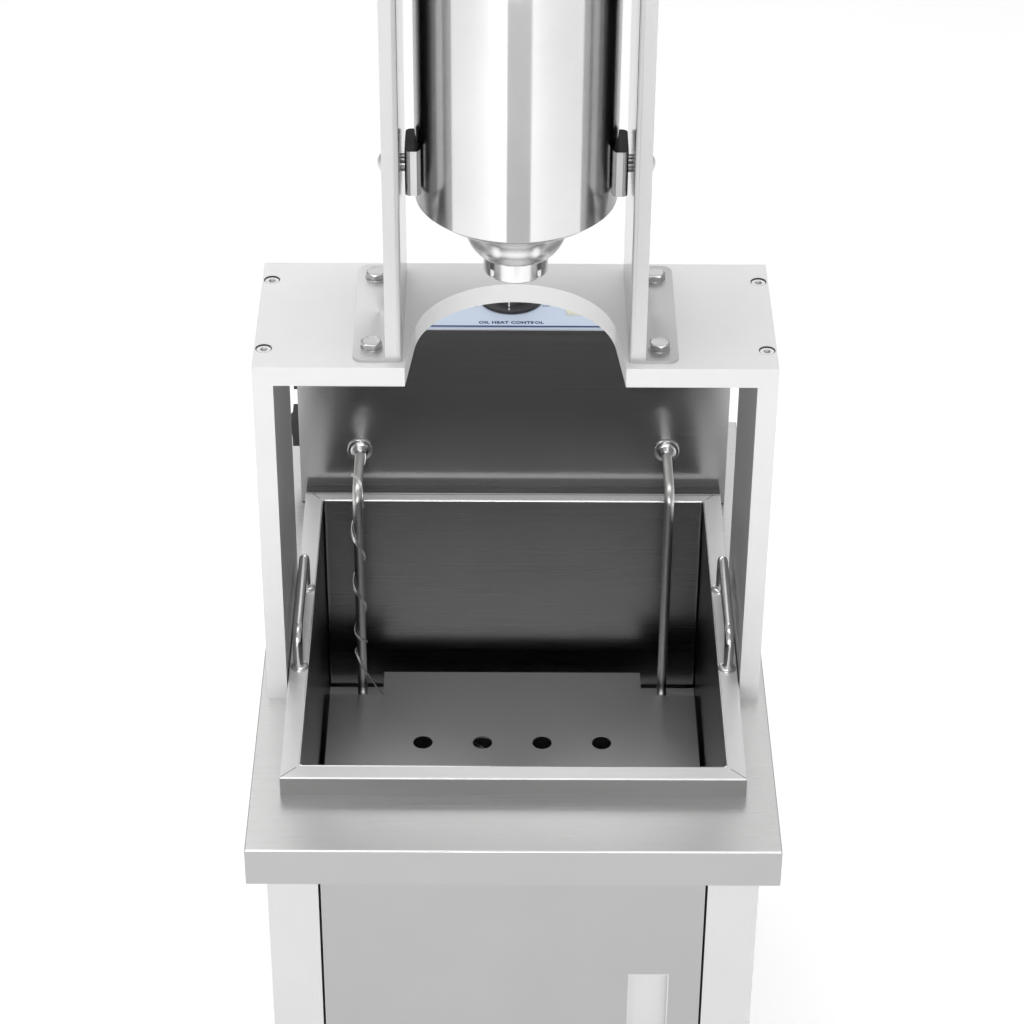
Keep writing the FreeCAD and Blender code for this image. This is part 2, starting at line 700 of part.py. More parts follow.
def make_cylinder():
    inner = "cylinder_radius-cylinder_wall"
    top = "cylinder_top"
    tube = lathe([(inner, "-cylinder_bottom"), ("cylinder_radius", "-cylinder_bottom"),
                  ("cylinder_radius", f"{top}-bead_height"), ("bead_radius", f"{top}-bead_height+1"),
                  ("bead_radius", f"{top}-1"), ("bead_radius-1", top), (inner, top)])
    part("dough_cylinder", tube, y="bridge_y", z=TRUNNION_Z)
    lip = "-cylinder_bottom+funnel_lip"
    cone_top = "-cylinder_bottom-2"
    funnel = lathe([(f"{inner}-2", lip), (inner, lip), (inner, "-cylinder_bottom"),
                    (f"{inner}-1.5", cone_top),
                    ("cylinder_radius*0.90", "-cylinder_bottom-funnel_drop*0.13"),
                    ("cylinder_radius*0.76", "-cylinder_bottom-funnel_drop*0.27"),
                    ("cylinder_radius*0.59", "-cylinder_bottom-funnel_drop*0.43"),
                    ("cylinder_radius*0.545", "-cylinder_bottom-funnel_drop*0.49"),
                    ("cylinder_radius*0.515", "-cylinder_bottom-funnel_drop*0.60"),
                    ("cylinder_radius*0.49", "-cylinder_bottom-funnel_drop*0.74"),
                    ("cylinder_radius*0.45", "-cylinder_bottom-funnel_drop*0.86"),
                    ("cylinder_radius*0.40", "-cylinder_bottom-funnel_drop*0.95"),
                    ("nut_radius+2", "-cylinder_bottom-funnel_drop"),
                    ("neck_radius", "-cylinder_bottom-funnel_drop"),
                    ("neck_radius", "-neck_bottom"), ("neck_bore", "-neck_bottom"),
                    ("neck_bore", "-cylinder_bottom-funnel_drop+2"),
                    ("cylinder_radius*0.49-3", "-cylinder_bottom-funnel_drop*0.74+1"),
                    ("cylinder_radius*0.545-3", "-cylinder_bottom-funnel_drop*0.49+1"),
                    ("cylinder_radius*0.59-2", "-cylinder_bottom-funnel_drop*0.43+2.5"),
                    ("cylinder_radius*0.76-2", "-cylinder_bottom-funnel_drop*0.27+2.5")])
    part("dough_funnel", funnel, y="bridge_y", z=TRUNNION_Z)
    lugs = []
    pins = []
    for side, _ in SIDES:
        block = box(span(side, "cylinder_radius-4", "lug_face"), ("-lug_depth/2", "lug_depth/2"),
                    ("-lug_height/2+0.001", "lug_height/2"))
        face = side * size("lug_face")

        def outer_corner(edge, face=face):
            return runs_along(edge, Z_AXIS) and abs(edge.BoundBox.Center.x - face) < 0.01

        block = rounded(block, size("lug_round"), outer_corner)
        wall = rod("cylinder_radius", ("-lug_height", "lug_height"))
        bore = rod("pin_radius", span(side, "cylinder_radius", "lug_face+1"), ("0", "0"), "x")
        lugs.append(cut(block, wall, bore))
        shank = rod("pin_radius", span(side, "cylinder_radius+0.5", "upright_inner+upright_sheet+0.4"),
                    ("0", "0"), "x")
        start = "upright_inner+upright_sheet+0.4"
        end = f"{start}+pin_head_height"
        dome = lathe([("0", start), ("pin_head_radius-1.5", start), ("pin_head_radius", f"{start}+1.5"),
                      ("pin_head_radius", f"{end}-10"), ("pin_head_radius-0.8", f"{end}-7"),
                      ("pin_head_radius-2.8", f"{end}-4"), ("pin_head_radius-5.5", f"{end}-1.8"),
                      ("pin_head_radius-8.5", f"{end}-0.4"), ("2", end), ("0", end)])
        at(dome, turn=Rotation(Vector(0, 1, 0), 90 * side))
        pins.append(join(shank, dome))
    part("cylinder_lugs", group(*lugs), y="bridge_y", z=TRUNNION_Z)
    part("trunnion_pins", group(*pins), y="bridge_y", z=TRUNNION_Z)


def make_nozzle():
    """A ring nut screws on the funnel's neck and holds a star nozzle disc against a gasket."""
    nut = lathe([("neck_radius+thread_fit", "-nut_top"), ("nut_radius-1", "-nut_top"),
                 ("nut_radius", "-nut_top-1"), ("nut_radius", "-nut_bottom+1"),
                 ("nut_radius-1", "-nut_bottom"), ("nut_mouth", "-nut_bottom"),
                 ("nut_mouth", "-nut_bottom+nut_floor"),
                 ("neck_radius+thread_fit", "-nut_bottom+nut_floor")])
    notches = []
    for n in range(4):
        notch = box(("nut_radius-2.5", "nut_radius+2"), ("-3", "3"), ("-nut_bottom-1", "-nut_bottom+9"))
        frame = doc.addObject("Part::Compound", unique("notch"))
        frame.Links = [notch]
        at(frame, turn=Rotation(Z_AXIS, 45 + 90 * n))
        notches.append(frame)
    part("nozzle_nut", cut(nut, *notches), y="bridge_y", z=TRUNNION_Z)
    points = []
    count = 2 * int(size("star_points"))
    for n in range(count):
        reach = "star_outer" if n % 2 == 0 else "star_inner"
        points.append((f"{reach}*cos({n * 360 / count + 1})", f"{reach}*sin({n * 360 / count + 1})"))
    star = plate(points, "nozzle_height+2")
    at(star, z="-nut_bottom+nut_floor-1")
    disc = rod("neck_radius-0.2", ("-nut_bottom+nut_floor", "-nut_bottom+nut_floor+nozzle_height"))
    part("star_nozzle", cut(disc, star), y="bridge_y", z=TRUNNION_Z)
    gasket = ring("neck_bore", "neck_radius-0.2", "-neck_bottom-gasket_height", "-neck_bottom")
    part("nozzle_gasket", gasket, y="bridge_y", z=TRUNNION_Z)


# ---------------------------------------------------------------- press

SHAFT_Z = "worktop_height+bridge_height+shaft_height"


def make_crosshead():
    """The crosshead plate joins the uprights and carries the gear housing, guides and cover."""
    passage = box(("-14", "14"), ("-16", "18"), ("-100", "100"))
    slab = box(("-upright_inner", "upright_inner"), ("-crosshead_half_depth", "crosshead_half_depth"),
               ("-crosshead_bottom", "-crosshead_top"))
    bores = [rod("3", span(side, "upright_inner-24", "upright_inner+1"),
                 (f"{end}*40", f"-{CROSSHEAD_DROP}"), "x")
             for side, _ in SIDES for end, _ in ENDS]
    part("crosshead_plate", cut(slab, passage, *bores), y="bridge_y", z=SHAFT_Z)
    bolts = []
    for side, _ in SIDES:
        for end, _ in ENDS:
            here = (f"{end}*40", f"-{CROSSHEAD_DROP}")
            outer = "upright_inner+upright_sheet"
            shank = rod("3", span(side, "upright_inner-20", outer), here, "x")
            head = hexagon("10", span(side, outer, f"{outer}+4"), here, "x")
            bolts.append(join(shank, head))
    part("crosshead_bolts", group(*bolts), y="bridge_y", z=SHAFT_Z)
    outer = box(("-housing_half_width", "housing_half_width"), ("-housing_front", "housing_back"),
                ("-crosshead_top", "housing_top"))
    cavity = box(("-housing_half_width+housing_wall", "housing_half_width-housing_wall"),
                 ("-housing_front+housing_wall", "housing_back-housing_wall"),
                 ("-crosshead_top-1", "housing_top+1"))
    seat = rod("bush_radius", ("-housing_half_width-1", "housing_half_width+1"), ("shaft_y", "0"), "x")
    corners = [(f"{side}*(housing_half_width-housing_wall/2)", y) for side, _ in SIDES
               for y in ("-housing_front+housing_wall/2", "housing_back-housing_wall/2")]
    taps = [rod("2", ("housing_top-12", "housing_top+1"), here) for here in corners]
    body = cut(outer, cavity, seat, *taps)
    body = rounded(body, 4.0, lambda e: runs_along(e, Z_AXIS) and e.Length > 60
                   and abs(abs(e.BoundBox.Center.x) - size("housing_half_width")) < 0.01)
    part("gear_housing", body, y="bridge_y", z=SHAFT_Z)
    lid = box(("-housing_half_width", "housing_half_width"), ("-housing_front", "housing_back"),
              ("housing_top", "housing_top+cover_height"))
    lid = rounded(lid, 4.0, lambda e: runs_along(e, Z_AXIS))
    lid_holes = [rod("2.2", ("0", "60"), here) for here in corners]
    part("housing_cover", cut(lid, passage, *lid_holes), y="bridge_y", z=SHAFT_Z)
    screws = []
    for here in corners:
        shank = rod("2", ("housing_top-10", "housing_top+cover_height"), here)
        head = rod("3.5", ("housing_top+cover_height", "housing_top+cover_height+2.5"), here)
        screws.append(join(shank, head))
    part("cover_screws", group(*screws), y="bridge_y", z=SHAFT_Z)
    guides = []
    tip = "rack_back+gear_module"
    channel = box(("-rack_half_width-guide_fit", "rack_half_width+guide_fit"),
                  ("-rack_back-guide_fit", f"{tip}+guide_fit"), ("-100", "100"))
    for low, high, flange in (("-crosshead_bottom", "-crosshead_top", "-crosshead_bottom-3"),
                              ("housing_top", "housing_top+cover_height", "housing_top+cover_height")):
        block = box(("-14", "14"), ("-16", "18"), (low, high))
        rim = box(("-18", "18"), ("-20", "22"), (flange, f"{flange}+3"))
        guides.append(cut(join(block, rim), channel))
    part("rack_guides", group(*guides), y="bridge_y", z=SHAFT_Z)
    bushes = []
    for side, _ in SIDES:
        bush = rod("bush_radius", span(side, "housing_half_width-housing_wall", "housing_half_width"),
                   ("shaft_y", "0"), "x")
        flange = rod("bush_radius+3", span(side, "housing_half_width", "housing_half_width+2"),
                     ("shaft_y", "0"), "x")
        bore = rod("shaft_radius+shaft_fit", ("-60", "60"), ("shaft_y", "0"), "x")
        bushes.append(cut(join(bush, flange), bore))
    part("shaft_bushes", group(*bushes), y="bridge_y", z=SHAFT_Z)


def involute_gear():
    """The pinion's outline: involute flanks on a base circle, thinned a little for backlash."""
    teeth = int(size("gear_teeth"))
    pitch = size("gear_module") * teeth / 2
    base = pitch * math.cos(math.radians(20))
    tip = pitch + size("gear_module")
    root = pitch - 1.25 * size("gear_module")
    roll = math.tan(math.radians(20)) - math.radians(20)
    half = math.pi / (2 * teeth) - size("gear_backlash") / (2 * pitch) + roll
    flank = []
    steps = 8
    for n in range(steps + 1):
        reach = base + (tip - base) * n / steps
        turn = math.acos(base / reach)
        flank.append((reach, half - (math.tan(turn) - turn)))
    points = []
    for tooth in range(teeth):
        middle = 2 * math.pi * tooth / teeth
        side = [(root, middle - half)] + [(reach, middle - offset) for reach, offset in flank]
        mirror = [(reach, middle + offset) for reach, offset in reversed(flank)] + [(root, middle + half)]
        points += side + mirror
    corners = [Vector(0, r * math.cos(a), r * math.sin(a)) for r, a in points]
    wire = Part.makePolygon(corners + corners[:1])
    width = 2 * size("gear_half_width")
    return Part.Face(wire).extrude(Vector(width, 0, 0))


def make_crank():
    """Pinion, shaft and arm turn together; the grip turns on the arm's pin."""
    blank = doc.addObject("Part::Feature", unique("gear"))
    blank.Shape = involute_gear()
    at(blank, x="-gear_half_width")
    pinion = cut(blank, rod("shaft_radius", ("-20", "20"), ("0", "0"), "x"))
    part("pinion", pinion, y="bridge_y+shaft_y", z=SHAFT_Z)
    shaft = rod("shaft_radius", ("-housing_half_width-8", "crank_x+crank_thickness+6"), ("0", "0"), "x")
    collar = rod("shaft_radius+4", ("-housing_half_width-8", "-housing_half_width-2.5"), ("0", "0"), "x")
    part("crank_shaft", join(shaft, collar), y="bridge_y+shaft_y", z=SHAFT_Z)
    arm_x = ("crank_x", "crank_x+crank_thickness")
    drop = Rotation(X_AXIS, size("crank_drop"))
    bar = box(arm_x, ("-crank_length", "0"), ("-crank_half_width", "crank_half_width"))
    boss = rod("crank_boss", ("crank_x-4", "crank_x+crank_thickness"), ("0", "0"), "x")
    eye = rod("crank_half_width", arm_x, ("-crank_length", "0"), "x")
    bore = rod("shaft_radius", ("crank_x-10", "crank_x+20"), ("0", "0"), "x")
    pin_bore = rod("grip_pin_radius", ("crank_x-10", "crank_x+20"), ("-crank_length", "0"), "x")
    arm = cut(join(bar, boss, eye), bore, pin_bore)
    at(arm, turn=drop)
    part("crank_arm", group(arm), y="bridge_y+shaft_y", z=SHAFT_Z)
    nail = join(rod("grip_pin_radius", ("crank_x", "grip_end+2"), ("-crank_length", "0"), "x"),
                rod("grip_pin_radius+3", ("grip_end+2", "grip_end+6"), ("-crank_length", "0"), "x"))
    at(nail, turn=drop)
    part("crank_grip_pin", group(nail), y="bridge_y+shaft_y", z=SHAFT_Z)
    grip = lathe([("grip_pin_radius+0.1", "grip_start"), ("grip_radius-4", "grip_start"),
                  ("grip_radius", "grip_start+8"), ("grip_radius-2", "(grip_start+grip_end)/2"),
                  ("grip_radius", "grip_end-8"), ("grip_radius-4", "grip_end"),
                  ("grip_pin_radius+0.1", "grip_end")])
    at(grip, y="-crank_length", turn=TURNS["x"])
    handle = group(grip)
    at(handle, turn=drop)
    part("crank_grip", group(handle), y="bridge_y+shaft_y", z=SHAFT_Z)


def rack_shape():
    """The rack's side outline, straight-flanked teeth at 20 degrees, extruded across its width."""
    module = size("gear_module")
    pitch = math.pi * module
    line = size("rack_back")
    tip = line + module
    root = line - 1.25 * module
    slope = math.tan(math.radians(20))
    thin = size("gear_backlash") / 2
    bottom = -size("rack_bottom")
    top = size("rack_top")
    count = int((top - 25) / pitch)
    points = [(-line, bottom), (tip, bottom)]
    first = -4
    start = first * pitch - pitch / 2
    points.append((tip, start))
    for n in range(first, count):
        gap = n * pitch
        half = pitch / 4 + thin / 2
        points += [(tip, gap - half - module * slope), (root, gap - half + 1.25 * module * slope),
                   (root, gap + half - 1.25 * module * slope), (tip, gap + half + module * slope)]
    points += [(tip, top), (-line, top)]
    clean = [points[0]] + [b for a, b in zip(points, points[1:]) if math.dist(a, b) > 1e-6]
    corners = [Vector(0, y, z) for y, z in clean]
    wire = Part.makePolygon(corners + corners[:1])
    return Part.Face(wire).extrude(Vector(2 * size("rack_half_width"), 0, 0))


def make_piston():
    """The rack hangs the piston disc from its turned end; a nut under the disc holds it."""
    bar = doc.addObject("Part::Feature", unique("rack_bar"))
    bar.Shape = rack_shape()
    at(bar, x="-rack_half_width")
    stud = rod("6", ("-rack_bottom-piston_height+4", "-rack_bottom"))
    part("rack", join(bar, stud), y="bridge_y", z=SHAFT_Z)
    stop = box(("-12", "12"), ("-13", "15"), ("rack_top", "rack_top+8"))
    part("rack_stop_cap", rounded(stop, 2.0, lambda e: runs_along(e, Z_AXIS)), y="bridge_y", z=SHAFT_Z)
    low = "-rack_bottom-piston_height"
    groove = ("-rack_bottom-piston_height/2-3", "-rack_bottom-piston_height/2+3")
    disc = lathe([("12", low), ("piston_radius-1", low), ("piston_radius", f"{low}+1"),
                  ("piston_radius", groove[0]), ("seal_groove", groove[0]), ("seal_groove", groove[1]),
                  ("piston_radius", groove[1]), ("piston_radius", "-rack_bottom-1"),
                  ("piston_radius-1", "-rack_bottom"), ("6", "-rack_bottom"),
                  ("6", f"{low}+14"), ("12", f"{low}+14")])
    part("piston_disc", disc, y="bridge_y", z=SHAFT_Z)
    seal = ring("seal_groove", "seal_radius", f"{groove[0]}+0.1", f"{groove[1]}-0.1")
    part("piston_seal", seal, y="bridge_y", z=SHAFT_Z)
    nut = cut(hexagon("19", (f"{low}+4", f"{low}+14")), rod("6", (f"{low}", f"{low}+20")))
    part("piston_nut", nut, y="bridge_y", z=SHAFT_Z)


# ---------------------------------------------------------------- fryer tank

RIM_Z = "worktop_height+rim_height"


def make_tank():
    """A deep drawn tank hangs by its raised rim, which stands on the worktop."""
    rim = shell(("-rim_width/2", "rim_width/2"), ("-rim_depth/2", "rim_depth/2"),
                ("-rim_height", "0"), "tank_sheet", "z")
    well_x = ("-rim_width/2+rim_land", "rim_width/2-rim_land")
    well_y = ("-rim_depth/2+rim_land", "rim_depth/2-rim_land")
    inner = box(well_x, well_y, ("-tank_depth", "10"))
    outer = box((f"{well_x[0]}-tank_sheet", f"{well_x[1]}+tank_sheet"),
                (f"{well_y[0]}-tank_sheet", f"{well_y[1]}+tank_sheet"),
                ("-tank_depth-tank_sheet", "-tank_sheet/2"))
    inner = rounded(inner, size("well_round"), lambda e: runs_along(e, Z_AXIS))
    outer = rounded(outer, size("well_round") + size("tank_sheet"), lambda e: runs_along(e, Z_AXIS))
    half_x = size("rim_width") / 2
    half_y = size("rim_depth") / 2

    def rim_edge(edge):
        box_ = edge.BoundBox
        on_side = abs(abs(box_.Center.x) - half_x) < 0.01
        on_end = abs(abs(box_.Center.y) - half_y) < 0.01
        upright = runs_along(edge, Z_AXIS) and on_side and on_end
        return upright or (abs(box_.Center.z) < 0.01 and (on_side or on_end) and box_.ZLength < 0.01)

    part("oil_tank", cut(join(rounded(rim, 1.4, rim_edge), outer), inner), y="tank_y", z=RIM_Z)
    handles = []
    for side, _ in SIDES:
        x = side * size("handle_x")
        near = size("handle_y") - size("handle_pitch") / 2
        far = size("handle_y") + size("handle_pitch") / 2
        height = size("handle_height")
        handles.append(bent_rod([(x, near, 0), (x, near, height), (x, far, height), (x, far, 0)],
                                size("handle_radius"), size("handle_bend")))
    part("tank_handles", group(*handles), y="tank_y", z=RIM_Z)


def make_guard():
    """A perforated plate rests on the element; its rear corners are cut back for the element's legs."""
    half = "guard_width/2"
    top = plate([(f"-{half}", "-guard_front"), (half, "-guard_front"), (half, "guard_notch"),
                 ("guard_shoulder", "guard_notch"), ("guard_shoulder", "guard_back"),
                 ("-guard_shoulder", "guard_back"), ("-guard_shoulder", "guard_notch"),
                 (f"-{half}", "guard_notch")], "guard_sheet")
    at(top, z="-guard_depth-guard_sheet")
    lips = [box(span(side, f"{half}-guard_sheet", half), ("-guard_front", "guard_notch"),
                ("-guard_depth-guard_lip", "-guard_depth")) for side, _ in SIDES]
    holes = [rod("guard_hole_radius", ("-guard_depth-10", "-guard_depth+10"),
                 (f"{x}*guard_hole_x/2", f"guard_hole_y-{row}*guard_hole_pitch"))
             for row in range(int(size("guard_hole_rows"))) for x in (-3, -1, 1, 3)]
    part("element_guard", cut(join(top, *lips), *holes), y="tank_y", z=RIM_Z)


# ---------------------------------------------------------------- control head

def make_head():
    """The control box stands behind the tank; a hook along its front lies on the tank's rim."""
    half = "head_width/2"
    case = shell((f"-{half}", half), ("0", "head_depth"), ("head_foot", "head_height"), "head_sheet", "Y")
    hook = box((f"-{half}+6", f"{half}-6"), ("-hook_reach", "0.5"),
               ("hook_height", "hook_height+head_sheet"))
    through_top = ("head_height-5", "head_height+5")
    stalk_x = ("lamp_x-lamp_width/2+3", "lamp_x+lamp_width/2-3")
    stalk_y = ("lamp_y-lamp_depth/2+3", "lamp_y+lamp_depth/2-3")
    holes = [rod("dial_shaft+0.5", through_top, ("dial_x", "dial_y")), box(stalk_x, stalk_y, through_top)]
    for side, _ in SIDES:
        holes.append(rod("element_radius", ("-1", "5"), (f"{side}*element_x", "element_height"), "y"))
    switch_y = ("switch_y-switch_length/2+2", "switch_y+switch_length/2-2")
    switch_z = ("switch_z-switch_height/2+2", "switch_z+switch_height/2-2")
    holes.append(box((f"-{half}-1", f"-{half}+5"), switch_y, switch_z))
    holes.append(rod("inlet_radius", (f"-{half}-1", f"-{half}+5"), ("inlet_y", "inlet_z"), "x"))
    body = cut(join(case, hook), *holes)
    part("head_housing", body, y="head_y", z="worktop_height")
    back = shell((f"-{half}", half), ("head_depth", "head_depth+8"), ("head_foot", "head_height"),
                 "head_sheet", "y")
    part("head_back_cover", back, y="head_y", z="worktop_height")
    label = box(("-label_width/2", "label_width/2"), ("label_front", "label_front+label_depth"),
                ("head_height", "head_height+label_sheet"))
    label = rounded(label, 4.0, lambda e: runs_along(e, Z_AXIS))
    label_holes = [rod("dial_shaft+0.5", through_top, ("dial_x", "dial_y")),
                   box(stalk_x, stalk_y, through_top)]
    part("control_label", cut(label, *label_holes), y="head_y", z="worktop_height")
    bezel = box(("lamp_x-lamp_width/2", "lamp_x+lamp_width/2"),
                ("lamp_y-lamp_depth/2", "lamp_y+lamp_depth/2"),
                ("head_height+label_sheet", "head_height+label_sheet+3"))
    stalk = box(stalk_x, stalk_y, ("head_height-16", "head_height+label_sheet+5"))
    lamp = join(rounded(bezel, 2.0, lambda e: runs_along(e, Z_AXIS)), stalk)
    part("pilot_lamp", lamp, y="head_y", z="worktop_height")
    thermostat = box(("dial_x-22", "dial_x+22"), ("dial_y-20", "dial_y+20"),
                     ("head_height-head_sheet-42", "head_height-head_sheet"))
    bore = rod("dial_shaft+0.08", ("head_height-30", "head_height"), ("dial_x", "dial_y"))
    part("thermostat_body", cut(thermostat, bore), y="head_y", z="worktop_height")
    dial = lathe([("0", "-28"), ("dial_shaft", "-28"), ("dial_shaft", "label_sheet+0.6"),
                  ("dial_radius", "label_sheet+0.6"), ("dial_radius", "label_sheet+3.5"),
                  ("dial_radius-8", "label_sheet+5.5"), ("dial_radius-10", "dial_height-2"),
                  ("dial_radius-12", "dial_height"), ("0", "dial_height")])
    part("thermostat_dial", dial, x="dial_x", y="head_y+dial_y", z="worktop_height+head_height")
    face = f"-{half}"
    frame = cut(box((f"{face}-switch_proud", face),
                    ("switch_y-switch_length/2", "switch_y+switch_length/2"),
                    ("switch_z-switch_height/2", "switch_z+switch_height/2")),
                box((f"{face}-switch_proud-1", f"{face}+1"),
                    ("switch_y-switch_length/2+4", "switch_y+switch_length/2-4"),
                    ("switch_z-switch_height/2+4", "switch_z+switch_height/2-4")))
    inner = shell((face, f"{face}+24"), switch_y, switch_z, "1.6", "x")
    part("switch_body", join(frame, inner), y="head_y", z="worktop_height")
    barrel = rod("rocker_radius", ("-switch_length/2+4.4", "switch_length/2-4.4"), axis="y")
    flat = cut(barrel, box(("-20", "-rocker_face"), ("-20", "20"), ("-20", "20")),
               box(("4", "20"), ("-20", "20"), ("-20", "20")))
    at(flat, turn=Rotation(Y_AXIS, -size("rocker_tilt")))
    part("rocker", group(flat), x=f"{face}-4", y="head_y+switch_y", z="worktop_height+switch_z")
    gland = join(rod("inlet_radius-0.1", (f"{face}-12", f"{face}+8"), ("inlet_y", "inlet_z"), "x"),
                 hexagon("22", (f"{face}-7", face), ("inlet_y", "inlet_z"), "x"))
    wire_bore = rod("cable_radius", (f"{face}-13", f"{face}+9"), ("inlet_y", "inlet_z"), "x")
    part("inlet_gland", cut(gland, wire_bore), y="head_y", z="worktop_height")


def make_element():
    """One tube runs from the left fitting down into the oil, back and forth, and up to the right."""
    x = size("element_x")
    high = size("element_height")
    front = size("head_y")
    rim = size("rim_height")
    low = rim - size("element_level")
    leg = front - size("element_reach")
    near = size("tank_y") - size("rim_depth") / 2 + size("element_front")
    lane = size("element_pass")
    turn_back = leg - 60
    points = [(-x, front + 18, high), (-x, leg, high), (-x, leg, low), (-x, near, low), (-lane, near, low),
              (-lane, turn_back, low), (lane, turn_back, low), (lane, near, low), (x, near, low),
              (x, leg, low), (x, leg, high), (x, front + 18, high)]
    tube = bent_rod(points, size("element_radius"), size("element_bend"))
    part("heating_element", tube, z="worktop_height")
    nuts = []
    for side, _ in SIDES:
        here = (f"{side}*element_x", "element_height")
        outer = rod("fitting_radius", ("-3", "0"), here, "y")
        collar = rod("fitting_collar", ("-12", "-3"), here, "y")
        bore = rod("element_radius", ("-20", "20"), here, "y")
        inner = hexagon("20", ("head_sheet", "head_sheet+6"), here, "y")
        nuts.append(cut(join(outer, collar), bore))
        nuts.append(cut(inner, bore))
    part("element_nuts", group(*nuts), y="head_y", z="worktop_height")


make_worktop()
make_cabinet()
make_subframe()
make_feet()
make_door()
make_bridge()
make_bridge_fasteners()
make_uprights()
make_cylinder()
make_nozzle()
make_crosshead()
make_crank()
make_piston()
make_tank()
make_guard()
make_head()
make_element()
doc.recompute()

for item in doc.Objects:
    if "Invalid" in item.State or "Error" in item.State:
        raise RuntimeError(f"{item.Name} ({item.Label}) failed: {item.State}")
os.makedirs("parts", exist_ok=True)
for name, item in PARTS:
    shape = item.Shape
    if shape.isNull() or not shape.isValid():
        raise RuntimeError(f"{name} has no valid shape")
    if not shape.Solids:
        raise RuntimeError(f"{name} holds no solid")
    print(f"{name:26s} solids {len(shape.Solids)} volume {shape.Volume / 1000:9.2f} cm3")
for name, item in PARTS:
    item.Shape.exportStep(f"parts/{name}.step")
print(len(PARTS), "parts written")
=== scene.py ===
import json
import math

import bmesh
import bpy
from mathutils import Matrix, Vector


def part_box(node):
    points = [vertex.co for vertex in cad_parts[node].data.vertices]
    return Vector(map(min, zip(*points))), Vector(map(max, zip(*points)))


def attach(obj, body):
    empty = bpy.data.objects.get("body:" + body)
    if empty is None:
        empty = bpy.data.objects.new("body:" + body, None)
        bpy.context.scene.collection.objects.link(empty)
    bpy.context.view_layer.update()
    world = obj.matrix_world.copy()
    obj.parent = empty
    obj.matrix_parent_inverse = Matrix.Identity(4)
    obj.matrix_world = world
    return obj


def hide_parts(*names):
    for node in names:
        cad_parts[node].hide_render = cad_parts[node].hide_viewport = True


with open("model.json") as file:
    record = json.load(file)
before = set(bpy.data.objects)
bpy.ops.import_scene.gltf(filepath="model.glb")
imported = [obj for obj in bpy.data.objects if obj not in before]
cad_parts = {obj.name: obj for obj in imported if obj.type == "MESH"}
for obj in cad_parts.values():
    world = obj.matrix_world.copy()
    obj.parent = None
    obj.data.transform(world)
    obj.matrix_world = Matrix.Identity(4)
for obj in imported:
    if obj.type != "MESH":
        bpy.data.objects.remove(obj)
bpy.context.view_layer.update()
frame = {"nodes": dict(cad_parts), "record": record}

NODES = frame["nodes"]
scene = bpy.context.scene
scene.view_settings.view_transform = "Standard"
scene.view_settings.look = "None"

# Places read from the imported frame, in metres.
worktop_low, worktop_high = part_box("worktop")
plate_low, plate_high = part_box("bridge_top_plate")
tank_low, tank_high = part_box("oil_tank")
head_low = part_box("head_housing")[0]
label_low, label_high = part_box("control_label")
dial_low, dial_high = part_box("thermostat_dial")
cylinder_low, cylinder_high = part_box("dough_cylinder")
WORKTOP_Z = worktop_high.z
AXIS_Y = (plate_low.y + plate_high.y) / 2
WEB_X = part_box("upright_right")[0].x
DIAL_X = (dial_low.x + dial_high.x) / 2
DIAL_Y = (dial_low.y + dial_high.y) / 2
DIAL_RADIUS = (dial_high.x - dial_low.x) / 2

# The tank: its rim is 18 mm wide and its sheet 1.5 mm thick.
RIM_WIDTH = 0.018
RIM_Z = tank_high.z
TANK_Y = (tank_low.y + tank_high.y) / 2
TANK_HALF_Y = (tank_high.y - tank_low.y) / 2
WELL_X = tank_high.x - RIM_WIDTH
WELL_Y = TANK_HALF_Y - RIM_WIDTH
WELL_BACK = TANK_Y + WELL_Y
WELL_FLOOR = tank_low.z + 0.0015

# The head: a hook reaches 14 mm ahead of its front, and the element leaves the front 67 mm up.
HEAD_Y = head_low.y + 0.014
TUBE_RADIUS = 0.005
TUBE_BEND = 0.013
ELEMENT_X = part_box("heating_element")[0].x + TUBE_RADIUS
ELEMENT_Z = WORKTOP_Z + 0.067
LEG_Y = HEAD_Y - 0.078
GUARD_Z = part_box("element_guard")[1].z

SIDES = ((-1, "left"), (1, "right"))

# A face looks along an axis when its unit normal reaches this far along it.
SQUARE = 0.9

# Turns that lay a turned piece's axis upright, out of the head's front, into it, or sideways.
UPRIGHT = Matrix.Identity(3)
FORWARD = Matrix.Rotation(math.radians(90), 3, "X")
BACKWARD = Matrix.Rotation(math.radians(-90), 3, "X")
SIDEWAYS = Matrix(((0, 0, 1), (1, 0, 0), (0, 1, 0)))


# ------------------------------------------------------------------ camera

def make_camera():
    """The view from in front and above: 35 degrees down, long lens, almost square on."""
    data = bpy.data.cameras.new("camera")
    data.sensor_width = 36.0
    data.lens = 107.65
    data.clip_end = 50.0
    camera = bpy.data.objects.new("camera", data)
    scene.collection.objects.link(camera)
    camera.location = (-0.0114, worktop_low.y - 2.0705, WORKTOP_Z + 1.8415)
    yaw = Matrix.Rotation(math.radians(-0.227), 4, "Z")
    pitch = Matrix.Rotation(math.radians(90 - 35.32), 4, "X")
    roll = Matrix.Rotation(math.radians(0.364), 4, "Z")
    camera.rotation_euler = (yaw @ pitch @ roll).to_euler()
    scene.camera = camera


# ------------------------------------------------------------------ materials

def new_material(name):
    material = bpy.data.materials.new(name)
    material.use_nodes = True
    nodes = material.node_tree.nodes
    return material, nodes, material.node_tree.links, nodes["Principled BSDF"]


def texture_place(nodes, links, stretch):
    """Object coordinates in metres, scaled differently along each axis."""
    coords = nodes.new("ShaderNodeTexCoord")
    mapping = nodes.new("ShaderNodeMapping")
    mapping.inputs["Scale"].default_value = stretch
    links.new(coords.outputs["Object"], mapping.inputs["Vector"])
    return mapping.outputs["Vector"]


